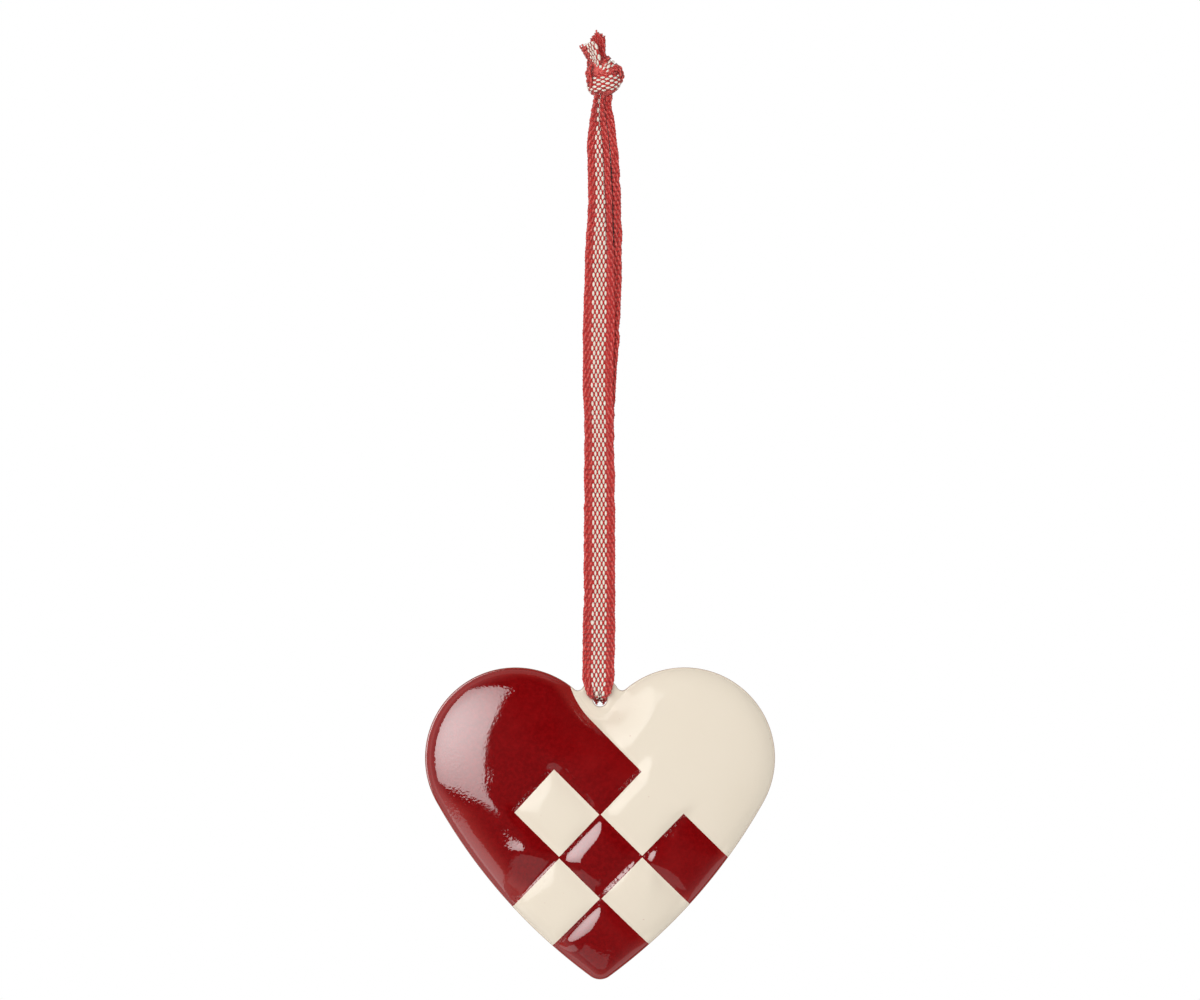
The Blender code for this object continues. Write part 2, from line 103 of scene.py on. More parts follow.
# Fineness of the shown heart, and the rings between its seam and its domes in millimetres
EDGE_STEP = 0.00030
FRONT_STEP = 0.00030
BACK_STEP = 0.00090
HOLE_SIDES = 48
EDGE_ROUNDING = 0.00028
EDGE_TURNS = 7
WELD_DISTANCE = 2e-6
RIM_RINGS = (0.05, 0.11, 0.19, 0.29, 0.42, 0.58, 0.78, 1.02)

# Ribbon: flat tape of warp yarns, red at both edges and cream in the middle, in metres
TAPE_WIDTH = 0.0063
FLAT_WIDTHS = (0.0059, 0.0064)
EDGE_WARPS = 4
WARP_COUNT = 15
MIDDLE_WARP = (WARP_COUNT - 1) / 2
WARP_PITCH = 0.00042
ROW_PITCH = 0.00092
WARP_STEP = 0.00023
WEFT_STEP = 0.00021
ROUTE_STEP = 0.00010

# Warp yarns: each pair is for the red ones and for the cream ones
WARP_LIFTS = (0.00021, 0.00017)
FLOAT_SWELLS = (0.00007, 0.00012)
WARP_HALF_WIDTH = 0.00014
WARP_HALF_HEIGHT = 0.00016
FLOAT_SHARPNESS = 1.6
FLOAT_SLANT = 0.00010
OUTER_FLOAT_SLANT = 0.00006
PAIR_SHIFT = 0.00005
UNEVEN_PLACE = 0.000015
UNEVEN_WIDTH = 0.06
SLUB_PLACE = 0.0168
SLUB_SWELL = 0.00022
SLUB_REACH = 0.00045

# Weft yarn, the yarn that covers each edge, and the thin sheet that closes the gaps in the weave
WEFT_WAVE = 0.00010
WEFT_HALF_WIDTH = 0.00051
WEFT_END_HALF_WIDTH = 0.00042
WEFT_TURN_HALF_WIDTH = 0.00014
WEFT_TURN_BULGE = 0.00004
WEFT_HALF_HEIGHT = 0.00014
WEFT_MARGIN = 0.0002
WEFT_CUT_MARGIN = 0.0003
EDGE_YARN_OFFSET = 0.00002
EDGE_YARN_HALVES = (0.00019, 0.00015)
SHEET_HALF_THICKNESS = 0.00004
SHEET_STEP = 0.0004
SHEET_SHORTER_BY = 0.00025

# Sideways wander of the yarns, and how much wider than their pitch they are spread
WANDER = 0.00007
WANDER_FULL_AT = 0.003
WANDER_STEP = 0.0013
WANDER_MARGIN = 0.003
YARN_SPREAD = 1.02

# Each station is the middle of the tape and its width there: x, y, z, width. Both x and y
# are measured from the hole's centre, z from the middle of the tab for the stations at the
# tab, and from the surface for the others.
FRONT_AT_TAB = (
    (0.0000, 0.0005, 0.00010, 0.0026),
    (-0.0001, 0.0006, 0.00075, 0.0036),
    (-0.0002, 0.0009, 0.00140, 0.0043),
    (-0.0002, 0.0018, 0.00180, 0.0050),
    (-0.0003, 0.0034, 0.00155, 0.0059),
    (-0.0003, 0.0053, 0.00120, 0.0063),
)
FRONT_LYING = (
    (-0.0003, 0.0082, 0.00555, 0.0063),
    (-0.0002, 0.0122, 0.00405, 0.0064),
    (-0.0002, 0.0162, 0.00265, 0.0063),
    (-0.0001, 0.0202, 0.00180, 0.0062),
    (-0.0001, 0.0252, 0.00142, 0.0062),
    (-0.0001, 0.0332, 0.00136, 0.0062),
    (-0.0001, 0.0432, 0.00136, 0.0060),
    (-0.0002, 0.0542, 0.00136, 0.0058),
    (-0.0004, 0.0652, 0.00136, 0.0060),
    (-0.0002, 0.0752, 0.00136, 0.0062),
    (-0.0001, 0.0832, 0.00136, 0.0059),
    (-0.0001, 0.0912, 0.00138, 0.0055),
    (0.0000, 0.0997, 0.00140, 0.0047),
    (-0.0002, 0.1072, 0.00145, 0.0045),
    (-0.0004, 0.1122, 0.00160, 0.0042),
    (-0.0004, 0.1157, 0.00190, 0.0033),
    (-0.0004, 0.1182, 0.00230, 0.0024),
    (-0.0002, 0.1202, 0.00265, 0.0018),
)
BACK_AT_TAB = (
    (0.0000, 0.0005, -0.00015, 0.0022),
    (0.0000, 0.0006, -0.00070, 0.0023),
    (0.0000, 0.0010, -0.00130, 0.0032),
    (-0.0001, 0.0020, -0.00165, 0.0044),
    (-0.0001, 0.0036, -0.00190, 0.0056),
)
BACK_LYING = (
    (-0.0001, 0.0062, 0.00265, 0.0060),
    (-0.0001, 0.0092, 0.00165, 0.0060),
    (-0.0001, 0.0122, 0.00085, 0.0060),
    (-0.0001, 0.0152, 0.00050, 0.0060),
    (-0.0001, 0.0212, 0.00042, 0.0060),
    (-0.0001, 0.0312, 0.00042, 0.0060),
    (-0.0001, 0.0452, 0.00042, 0.0059),
    (0.0000, 0.0552, 0.00042, 0.0060),
    (0.0005, 0.0642, 0.00042, 0.0061),
    (0.0011, 0.0722, 0.00042, 0.0061),
    (0.0014, 0.0812, 0.00042, 0.0061),
    (0.0016, 0.0902, 0.00042, 0.0061),
    (0.0015, 0.0992, 0.00042, 0.0058),
    (0.0012, 0.1072, 0.00043, 0.0052),
    (0.0012, 0.1122, 0.00050, 0.0044),
    (0.0012, 0.1157, 0.00072, 0.0034),
    (0.0012, 0.1182, 0.00105, 0.0025),
    (0.0012, 0.1202, 0.00140, 0.0019),
)
STEP_INTO_KNOT = (0.0001, 0.0013, 0.0004, -0.0002)
RUN_START = -0.00015

# Folds of the front run in the hole: place across the tape and slope there, in radians, and the
# share of the width that they take away
HOLE_FOLDS = (
    (-0.0032, 0.9), (-0.0026, 0.7), (-0.0022, -0.8), (-0.0014, -1.3), (-0.00115, 1.35),
    (-0.0005, 1.25), (-0.0002, -0.9), (0.0003, -0.9), (0.0006, 0.9), (0.0011, 0.9),
    (0.0014, -0.2), (0.0020, -0.3), (0.0024, -1.0), (0.0032, -1.2),
)
HOLE_FOLDS_LOSE = 0.36
HOLE_FOLDS_LOSE_MOST = 0.65
HOLE_FOLDS_END = (0.0045, 0.0085)

# Towards the knot a flat fold narrows the front run's cream stripe, and its red edges are pleated
STRIPE_HALF = 0.00145
LEAST_STRIPE = 0.0004
DEEPEST_TUCK = 0.0013
FOLD_TURN = 0.0005
EDGES_SEEN = 0.95
EDGE_PLEAT = 0.0017

# Pleats of the back run, and its flat right edge beyond a tight fold: widths and places across it
BACK_PLEAT = 0.00157
BACK_HOLE_PLEAT = 0.00315
RAISED_WIDTHS = (0.0008, 0.0022)
FLAT_EDGE_SEEN = 0.0016
FLAT_EDGE_TAKES = 0.0022
FLAT_EDGE_START = (0.0008, 0.0010)
TIGHT_FOLD = ((0.0009, 0.0013), (0.0012, 0.0016))

# Columns at even places across the tape where its section is worked out, and the one at its edge
SECTION_REACH = 0.0036
SECTION_COLUMNS = 73
FINE_COLUMNS = 289
TUCK_DEPTHS = 53
CURVE_STEPS = 40
EDGE_COLUMN = 5

# Knot core under the wound tape: x, y, z, half width and half thickness
KNOT_SECTIONS = (
    (0.0006, 0.1206, 0.0022, 0.0016, 0.0012),
    (0.0010, 0.1217, 0.0024, 0.0027, 0.0019),
    (0.0010, 0.1229, 0.0025, 0.0032, 0.0023),
    (0.0011, 0.1241, 0.0025, 0.0036, 0.0024),
    (0.0009, 0.1253, 0.0025, 0.0036, 0.0024),
    (0.0010, 0.1264, 0.0025, 0.0033, 0.0022),
    (0.0005, 0.1274, 0.0024, 0.0028, 0.0018),
    (0.0001, 0.1284, 0.0023, 0.0023, 0.0013),
)
KNOT_CORE_INSET = (0.0007, 0.0006)
KNOT_CORE_SIDES = 20
KNOT_MIDDLE = (0.0010, 0.0, 0.00245)

MIDDLE_HEIGHT = HEART_HEIGHT / 2
LOBE_CENTRE = np.array([HEART_WIDTH / 2 - LOBE_RADIUS, HEART_HEIGHT - LOBE_RADIUS])
TIP_CENTRE = np.array([0.0, TIP_RADIUS])
NOTCH_ABOVE_LOBES = sqrt((LOBE_RADIUS + NOTCH_RADIUS) ** 2 - LOBE_CENTRE[0] ** 2)
NOTCH_CENTRE = np.array([0.0, LOBE_CENTRE[1] + NOTCH_ABOVE_LOBES])
TAB_CENTRE = NOTCH_CENTRE + (0.0, TAB_RISE - NOTCH_RADIUS)
HOLE_CENTRE = TAB_CENTRE - (0.0, HOLE_BELOW_TAB_CENTRE)
HOLE_Y = HOLE_CENTRE[1] - MIDDLE_HEIGHT

# Colours
WHITE = (1.0, 1.0, 1.0)
BLACK = (0.0, 0.0, 0.0)
DEEP_RED = (0.178, 0.0006, 0.0016)
USUAL_RED = (0.240, 0.0018, 0.0030)
CLOUDY_RED = (0.262, 0.0050, 0.0058)
# Painted light: a lighter red for the rim, where light from the floor falls
PAINTED_BOUNCE_RED = (0.335, 0.020, 0.017)
PALE_CREAM = (0.85, 0.760, 0.632)
WARM_CREAM = (0.83, 0.735, 0.600)
PIT_BROWN = (0.60, 0.35, 0.28)
SEAM_BROWN = (0.34, 0.17, 0.11)
# Painted shade for the crease between the two runs near the knot
PAINTED_GAP_SHADE = (0.10, 0.011, 0.008)

# Yarn colours: painted shade where it turns away, then its dark, usual and light fibres
RED_YARN = ((0.16, 0.006, 0.006), (0.38, 0.028, 0.026), (0.80, 0.124, 0.104), (0.94, 0.29, 0.23))
WEFT_YARN = ((0.18, 0.005, 0.005), (0.36, 0.012, 0.011), (0.60, 0.026, 0.022), (0.70, 0.052, 0.042))
CREAM_YARN = ((0.48, 0.30, 0.24), (0.78, 0.71, 0.60), (0.90, 0.85, 0.75), (0.94, 0.90, 0.83))

# Softbox glow: where its middle lies and how wide it spreads, as shares of the half sides
GLOW_MIDDLE = (0.0, -0.05)
GLOW_SPREAD = (1.97, 0.71)
GLOW_PEAK = 4.5
GLOW_EDGE = 2.5


class Value:
    """A number, vector or colour from a shader node. Numbers take plain arithmetic."""

    def __init__(self, nodes, socket):
        self.nodes = nodes
        self.socket = socket

    def __add__(self, other):
        return self.nodes.maths("ADD", self, other)

    def __sub__(self, other):
        return self.nodes.maths("SUBTRACT", self, other)

    def __rsub__(self, other):
        return self.nodes.maths("SUBTRACT", other, self)

    def __mul__(self, other):
        return self.nodes.maths("MULTIPLY", self, other)


class Nodes:
    """Makes shader nodes. A source is a value from a node, or a plain number, vector or colour."""

    def __init__(self, tree):
        self.tree = tree

    def fed(self, node, sources, output=0):
        """One of the node's outputs, after its named inputs have been given their sources."""
        for name, source in sources.items():
            socket = node.inputs[name]
            if isinstance(source, Value):
                self.tree.links.new(source.socket, socket)
            elif isinstance(source, tuple):
                socket.default_value = (*source, 1.0)
            else:
                socket.default_value = source
        return Value(self, node.outputs[output])

    def place(self, kind="Object"):
        return self.fed(self.tree.nodes.new("ShaderNodeTexCoord"), {}, kind)

    def geometry(self, kind):
        return self.fed(self.tree.nodes.new("ShaderNodeNewGeometry"), {}, kind)

    def split(self, vector):
        """The x, y and z of a vector."""
        node = self.tree.nodes.new("ShaderNodeSeparateXYZ")
        return [self.fed(node, {0: vector}, axis) for axis in range(3)]

    def maths(self, operation, *sources):
        node = self.tree.nodes.new("ShaderNodeMath")
        node.operation = operation
        return self.fed(node, dict(enumerate(sources)))

    def ramp(self, source, start, end):
        """Zero before the start and one after the end, with soft corners."""
        node = self.tree.nodes.new("ShaderNodeMapRange")
        node.interpolation_type = "SMOOTHSTEP"
        self.fed(node, {"From Min": min(start, end), "From Max": max(start, end)})
        self.fed(node, {"To Min": float(start > end), "To Max": float(start < end)})
        return self.fed(node, {"Value": source}, "Result")

    def noise(self, vector, scale, detail=2.0, roughness=0.5):
        node = self.tree.nodes.new("ShaderNodeTexNoise")
        values = {"Vector": vector, "Scale": scale, "Detail": detail, "Roughness": roughness}
        return self.fed(node, values, "Fac")

    def mix(self, share, first, second):
        node = self.tree.nodes.new("ShaderNodeMix")
        node.data_type = "RGBA"
        return self.fed(node, {"Factor": share, 6: first, 7: second}, 2)

    def bump(self, height, distance):
        node = self.tree.nodes.new("ShaderNodeBump")
        return self.fed(node, {"Strength": 1.0, "Distance": distance, "Height": height}, "Normal")


def new_material(name):
    material = bpy.data.materials.new(name)
    material.use_nodes = True
    return material, Nodes(material.node_tree), material.node_tree.nodes["Principled BSDF"]


def panel(name, centre, across, up, size, radiance, use):
    """A flat light that faces away from the product of its two directions.

    Its use is "gloss" for reflections alone, "fill" for all but reflections, or "both".
    """
    light = bpy.data.lights.new(name, "AREA")
    light.shape = "RECTANGLE"
    light.size, light.size_y = size
    light.energy = radiance * pi * size[0] * size[1]
    lamp = bpy.data.objects.new(name, light)
    turned = Matrix((across, up, across.cross(up))).transposed()
    lamp.rotation_euler = turned.to_euler()
    lamp.location = centre
    lamp.visible_diffuse = use != "gloss"
    lamp.visible_glossy = use != "fill"
    bpy.context.scene.collection.objects.link(lamp)
    return light


def upright(heading, left, right, bottom, top, distance=1.3):
    """An upright rectangle at a distance, square to a heading in degrees."""
    turn = radians(heading)
    out = Vector((cos(turn), sin(turn), 0.0))
    side = Vector((-out.y, out.x, 0.0))
    centre = out * distance + side * (left + right) / 2
    centre.z = (bottom + top) / 2
    return centre, Vector((0, 0, 1)).cross(out), Vector((0, 0, 1)), (right - left, top - bottom)


def glow_over(light, centre, across, up, size):
    """Brighter in the middle of the panel than at its edges."""
    light.use_nodes = True
    nodes = Nodes(light.node_tree)
    place = nodes.geometry("Position")
    squares = []
    for axis, length, middle, spread in zip((across, up), size, GLOW_MIDDLE, GLOW_SPREAD):
        dot = nodes.tree.nodes.new("ShaderNodeVectorMath")
        dot.operation = "DOT_PRODUCT"
        share = nodes.fed(dot, {0: place, 1: axis * 2 / length}, "Value")
        share = share - (centre.dot(axis) * 2 / length + middle)
        squares.append(share * share * (-1 / spread))
    fall = nodes.maths("EXPONENT", squares[0] + squares[1])
    nodes.fed(nodes.tree.nodes["Emission"], {"Strength": fall * GLOW_PEAK + GLOW_EDGE})


def camera_and_lights(scene):
    data = bpy.data.cameras.new("camera")
    data.sensor_width = 36.0
    data.lens = 180.0
    camera = bpy.data.objects.new("camera", data)
    camera.location = (0.0, 0.06468, 1.2053)
    scene.collection.objects.link(camera)
    scene.camera = camera

    softbox = (
        Vector((-0.7008, 0.3303, 1.0438)),
        Vector((0.4336, 0.0063, 0.9011)),
        Vector((0.3085, 0.9385, -0.1550)),
        (1.4836, 1.5589),
    )
    glow_over(panel("softbox", *softbox, 1.0, "gloss"), *softbox)
    behind = Vector((-0.017, 0.007, 0.008))
    panel("softbox_spill", softbox[0] + behind, *softbox[1:], 1.2, "fill")
    ceiling = (Vector((0.3, 0.0, 1.9)), Vector((1, 0, 0)), Vector((0, 1, 0)), (5.0, 5.0))
    panel("ceiling", *ceiling, 0.78, "fill")
    panel("right_fill", *upright(-12.0, -1.5, 1.5, 0.05, 1.5, 1.5), 0.62, "fill")
    panel("top_fill", *upright(90.0, -1.5, 1.5, 0.05, 1.5, 1.5), 0.42, "fill")
    panel("card", *upright(209.0, 0.068, 0.400, -0.30, 1.08), 0.85, "both")
    panel("far_card", *upright(255.0, -0.620, 1.000, 0.75, 2.15), 0.36, "both")


def room(scene):
    """Dim light from all round, brighter low at the left and in front, and pale paper below."""
    scene.world = bpy.data.worlds.new("room")
    scene.world.use_nodes = True
    nodes = Nodes(scene.world.node_tree)
    x, y, z = nodes.split(nodes.place("Generated"))
    low = nodes.ramp(z, 0.85, 0.20) * nodes.ramp(z, -0.45, -0.10)
    in_front = nodes.ramp(y, -0.05, -0.60)
    beside = nodes.ramp(x, 0.15, -0.75) * 0.28 + in_front * 0.10
    dim = nodes.ramp(x + y, -0.2, 0.4) * -0.045 + 0.06
    paper = nodes.ramp(z, 0.05, -0.10) * (in_front * 0.16 + 0.20)
    background = scene.world.node_tree.nodes["Background"]
    nodes.fed(background, {"Strength": low * beside + dim + paper, "Color": WHITE})


def pale_floor():
    bpy.ops.mesh.primitive_plane_add(size=6.0, location=(0.0, 0.0, -0.00005))
    ground = bpy.context.object
    ground.name = "floor"
    material, nodes, shader = new_material("pale_floor")
    nodes.fed(shader, {"Base Color": BLACK, "Specular IOR Level": 0.0})
    nodes.fed(shader, {"Emission Color": WHITE, "Emission Strength": 1.0})
    ground.data.materials.append(material)
    ground.visible_glossy = False


def angle_of(vector):
    return atan2(vector[1], vector[0])


def meeting_point(centre_a, reach_a, centre_b, reach_b, side):
    """The point at the two reaches from the two centres, on the asked side of their line."""
    across = centre_b - centre_a
    distance = np.hypot(*across)
    along = (reach_a**2 - reach_b**2 + distance**2) / (2 * distance)
    height = sqrt(max(reach_a**2 - along**2, 0.0))
    direction = across / distance
    normal = np.array([-direction[1], direction[0]])
    return centre_a + direction * along + normal * height * side


def arc(centre, radius, start, end, full_radius):
    """Points of an arc, as many for each inset of it as for its full radius."""
    steps = max(3, ceil(abs(end - start) * full_radius / EDGE_STEP))
    angles = start + (end - start) * np.arange(steps) / steps
    return centre + radius * np.column_stack((np.cos(angles), np.sin(angles)))


def lower_half(inset):
    flank_centre = meeting_point(
        LOBE_CENTRE, FLANK_RADIUS - LOBE_RADIUS, TIP_CENTRE, FLANK_RADIUS - TIP_RADIUS, -1
    )
    tip_end = angle_of(TIP_CENTRE - flank_centre)
    lobe_start = angle_of(LOBE_CENTRE - flank_centre)
    tip = arc(TIP_CENTRE, TIP_RADIUS - inset, -pi / 2, tip_end, TIP_RADIUS)
    flank = arc(flank_centre, FLANK_RADIUS - inset, tip_end, lobe_start, FLANK_RADIUS)
    return [tip, flank], lobe_start


def closed_by_mirror(right_half, last_point):
    right = np.vstack(right_half + [last_point[None, :]])
    left = right[1:-1][::-1] * (-1, 1)
    return np.vstack((right, left))


def heart_with_tab(inset):
    parts, lobe_start = lower_half(inset)
    valley = meeting_point(
        LOBE_CENTRE, LOBE_RADIUS + TAB_FILLET, TAB_CENTRE, TAB_RADIUS + TAB_FILLET, -1
    )
    lobe_end = angle_of(valley - LOBE_CENTRE)
    parts.append(arc(LOBE_CENTRE, LOBE_RADIUS - inset, lobe_start, lobe_end, LOBE_RADIUS))
    valley_start = angle_of(LOBE_CENTRE - valley)
    valley_end = angle_of(TAB_CENTRE - valley) - 2 * pi
    while valley_end < valley_start - pi:
        valley_end += 2 * pi
    parts.append(arc(valley, TAB_FILLET + inset, valley_start, valley_end, TAB_FILLET * 1.5))
    tab_start = angle_of(valley - TAB_CENTRE)
    radius = TAB_RADIUS - inset
    parts.append(arc(TAB_CENTRE, radius, tab_start, pi / 2, TAB_RADIUS))
    return closed_by_mirror(parts, TAB_CENTRE + (0.0, radius))


def heart_body(inset):
    parts, lobe_start = lower_half(inset)
    lobe_end = angle_of(NOTCH_CENTRE - LOBE_CENTRE)
    parts.append(arc(LOBE_CENTRE, LOBE_RADIUS - inset, lobe_start, lobe_end, LOBE_RADIUS))
    notch_start = angle_of(LOBE_CENTRE - NOTCH_CENTRE)
    radius = NOTCH_RADIUS + inset
    parts.append(arc(NOTCH_CENTRE, radius, notch_start, -pi / 2, NOTCH_RADIUS * 1.5))
    return closed_by_mirror(parts, NOTCH_CENTRE - (0.0, radius))


def hole_ring(inset):
    angles = np.arange(HOLE_SIDES) * 2 * pi / HOLE_SIDES
    radius = HOLE_DIAMETER / 2 + inset
    return HOLE_CENTRE + radius * np.column_stack((np.cos(angles), np.sin(angles)))


def looked_round(points, loop):
    """In blocks of points, the way to each point of the loop and the turn on to its next one."""
    for block in np.array_split(points, max(1, len(points) // 3000)):
        spokes = loop[None, :, :] - block[:, None, :]
        after = np.roll(spokes, -1, axis=1)
        turn = spokes[..., 0] * after[..., 1] - spokes[..., 1] * after[..., 0]
        level = (spokes * after).sum(axis=2)
        yield spokes, np.arctan2(turn, level)


def inside_loop(points, loop):
    return np.concatenate([turns.sum(axis=1) > pi for _, turns in looked_round(points, loop)])


def soft_depth(points, loop):
    """Near the loop the distance to it, and a smooth crown further in. Zero outside."""
    found = []
    for spokes, turns in looked_round(points, loop):
        reach = np.maximum(np.hypot(spokes[..., 0], spokes[..., 1]), 1e-9)
        inside = turns.sum(axis=1) > pi
        halves = np.tan(np.clip(turns, -3.1415, 3.1415) / 2)
        weight = (halves * (1 / reach + 1 / np.roll(reach, -1, axis=1))).sum(axis=1)
        found.append(np.where(inside & (weight > 0), 2 / np.maximum(weight, 1e-9), 0.0))
    return np.concatenate(found)


def ease(value, low, high):
    share = np.clip((value - low) / (high - low), 0.0, 1.0)
    return share * share * (3 - 2 * share)


def is_red(row, column):
    """Colour of a woven square. Row -1 is the cream lobe and column -1 is the red lobe."""
    return (row >= 0) & ((column < 0) | ((row + column) % 2 == 0))


def groove(distance):
    """Depth of a groove beside an edge, with a longer slope on its far side. One at most."""
    past = distance - GROOVE_OFFSET
    rounded = np.sqrt(past**2 + GROOVE_SOFTNESS**2)
    middle = (GROOVE_LONG_SIDE + GROOVE_SHORT_SIDE) / 2
    spread = middle + (GROOVE_LONG_SIDE - middle) * past / rounded
    return np.exp(-(rounded - GROOVE_SOFTNESS) / spread)


def edge_distances(x, y):
    """How far each point lies past each woven edge, in both directions."""
    down = -(x + y) / sqrt(2)
    along = (x - y) / sqrt(2)
    bend = np.maximum(LOBE_EDGE_BEND_START - along, 0.0) ** 2 / (2 * LOBE_EDGE_BEND_RADIUS)
    past_down, past_along = (
        [
            here - edge - tan(radians(lean)) * (crossing - LEAN_CENTRE)
            for edge, lean in zip(edges, leans)
        ]
        for here, crossing, edges, leans in (
            (down, along, DOWN_EDGES, DOWN_LEANS),
            (along, down, ALONG_EDGES, ALONG_LEANS),
        )
    )
    past_down[0] = past_down[0] + bend
    return past_down, past_along


def red_squares(x, y):
    """Whether each point is in a red square or in the red lobe."""
    row, column = (
        sum((distance > 0).astype(int) for distance in past) - 1 for past in edge_distances(x, y)
    )
    return is_red(row, column)


def squares_between(past):
    """Weight of each square along an edge: square -1 first, then one for each strip."""
    steps = [ease(distance, -GROOVE_END, GROOVE_END) for distance in past]
    bounds = [np.ones_like(past[0])] + steps + [np.zeros_like(past[0])]
    return [bounds[k] - bounds[k + 1] for k in range(len(past) + 1)]


def woven_relief(x, y):
    """Grooves where red meets cream: in the cream at the down edges, in the red at the others."""
    past_down, past_along = edge_distances(x, y)
    left = np.ones_like(x)
    for past, crossing, turn in ((past_down, past_along, 1), (past_along, past_down, -1)):
        squares = squares_between(crossing)
        for k, distance in enumerate(past):
            for square, share in enumerate(squares, start=-1):
                before, after = (is_red(*(strip, square)[::turn]) for strip in (k - 1, k))
                if before != after:
                    side = -turn if after else turn
                    shifted = distance - GROOVE_SHIFTS.get((turn, k, square), 0.0)
                    left = left * (1 - share * groove(side * shifted))
    return 1 - left


def from_hole_centre(points):
    return np.hypot(*(points - HOLE_CENTRE).T)


def rim_roll(depth, points):
    footed = depth**2 / (depth + RIM_FOOT)
    share = np.clip(footed / RIM_ROLL_WIDTH, 0.0, 1.0)
    fade = ease(from_hole_centre(points), RIM_FADE_START, RIM_FADE_END)
    return RIM_ROLL_HEIGHT * fade * np.sqrt(1 - (1 - share) ** 2)


def dome(depth, height, points):
    foot = TAB_BLEND * (1 - ease(from_hole_centre(points), TAB_BLEND_START, TAB_BLEND_END))
    footed = depth**2 / (depth + foot + 1e-9)
    return height * (1 - np.exp(-footed / DOME_REACH))


def swelling(points):
    total = np.zeros(len(points))
    for middle, height, reaches, heading in SWELLS:
        turn = radians(heading)
        away = points - middle
        along = away @ (cos(turn), sin(turn)) / reaches[0]
        aside = away @ (-sin(turn), cos(turn)) / reaches[1]
        total += height * np.exp(-(along**2 + aside**2) / 2)
    return total


def front_height(points, loop):
    depth = soft_depth(points, loop)
    inner = ease(depth, 0.0, GROOVE_RIM_FADE)
    body = rim_roll(depth, points) + dome(depth, FRONT_DOME_HEIGHT, points)
    body = body + swelling(points) * inner
    body = body - GROOVE_DEPTH * (woven_relief(points[:, 0], points[:, 1]) * inner)
    return BACK_DEPTH + TAB_THICKNESS / 2 + np.maximum(body, 0.0)


def back_height(points, loop):
    depth = soft_depth(points, loop)
    body = rim_roll(depth, points) + dome(depth, BACK_DOME_HEIGHT, points)
    return np.maximum(BACK_DEPTH - TAB_THICKNESS / 2 - body, 0.0)


class Builder:
    """Points and faces of one mesh, gathered in pieces."""

    def __init__(self):
        self.points = []
        self.faces = []
        self.slots = []
        self.count = 0

    def add_points(self, points):
        first = self.count
        self.points.append(np.asarray(points, float))
        self.count += len(points)
        return first

    def add_faces(self, faces, slot=0):
        """Rows of four corners, where the last corner of a triangle is -1."""
        faces = np.asarray(faces, int)
        self.faces.append(faces)
        self.slots.append(np.full(len(faces), slot))

    def add_triangles(self, points, triangles):
        first = self.add_points(points)
        self.add_faces(np.column_stack((first + triangles, np.full(len(triangles), -1))))

    def add_strip(self, rings, order=(0, 1, 2, 3), slot=0):
        """An open tube from rings of shape (count, sides, 3)."""
        count, sides = rings.shape[:2]
        first = self.add_points(rings.reshape(-1, 3))
        ring = np.arange(count - 1)[:, None] * sides
        side = np.arange(sides)[None, :]
        there = (side + 1) % sides
        quads = np.stack(
            (ring + side, ring + there, ring + sides + there, ring + sides + side), axis=-1
        )
        self.add_faces(first + quads.reshape(-1, 4)[:, order], slot)
        return first

    def add_tube(self, rings, slot=0):
        """The same with both ends closed."""
        count, sides = rings.shape[:2]
        first = self.add_strip(rings, slot=slot)
        for base, flip in ((first, True), (first + (count - 1) * sides, False)):
            fan = [(base, base + k, base + k + 1) for k in range(1, sides - 1)]
            fan = [face[::-1] for face in fan] if flip else fan
            self.add_faces([face + (-1,) for face in fan], slot)

    def mesh(self, name):
        data = bpy.data.meshes.new(name)
        faces = np.vstack(self.faces)
        sizes = (faces >= 0).sum(axis=1)
        corners = faces[faces >= 0]
        points = np.vstack(self.points)
        data.vertices.add(len(points))
        data.vertices.foreach_set("co", points.ravel())
        data.loops.add(len(corners))
        data.loops.foreach_set("vertex_index", corners)
        data.polygons.add(len(sizes))
        data.polygons.foreach_set("loop_start", np.concatenate(([0], np.cumsum(sizes)[:-1])))
        data.polygons.foreach_set("material_index", np.concatenate(self.slots))
        data.update(calc_edges=True)
        data.validate()
        data.shade_smooth()
        return data


def hex_points(step):
    rows = np.arange(0.0, HEART_HEIGHT, step * sqrt(3) / 2)
    columns = np.arange(-HEART_WIDTH / 2, HEART_WIDTH / 2, step)
    grid = [
        np.column_stack((columns + (step / 2 if k % 2 else 0.0), np.full(len(columns), row)))
        for k, row in enumerate(rows)
    ]
    return np.vstack(grid)


def flat_triangles(loops, free_points, keep):
    """Triangles between the loops, as points and faces."""
    points = np.vstack((*loops, *free_points))
    edges = []
    first = 0
    for loop in loops:
        edges += [(first + k, first + (k + 1) % len(loop)) for k in range(len(loop))]
        first += len(loop)
    result = delaunay_2d_cdt([tuple(p * 100) for p in points], edges, [], 1, 1e-7)
    flat = np.array([tuple(v) for v in result[0]]) / 100
    faces = np.array([tuple(face) for face in result[2]])
    middles = flat[faces].mean(axis=1)
    return flat, faces[keep(middles)]


def lifted(flat, heights):
    return np.column_stack((flat[:, 0], flat[:, 1] - MIDDLE_HEIGHT, heights))


def level_at(flat, height):
    return lifted(flat, np.full(len(flat), height))


def seam_and_tab(body):
    """The flat rim and tab between the outline, the hole and the body, as points and triangles."""
    def on_sheet(middles):
        clear_of_hole = from_hole_centre(middles) > HOLE_DIAMETER / 2 + EDGE_ROUNDING
        return clear_of_hole & ~inside_loop(middles, body)

    loops = (heart_with_tab(EDGE_ROUNDING), hole_ring(EDGE_ROUNDING), body)
    return flat_triangles(loops, [], on_sheet)


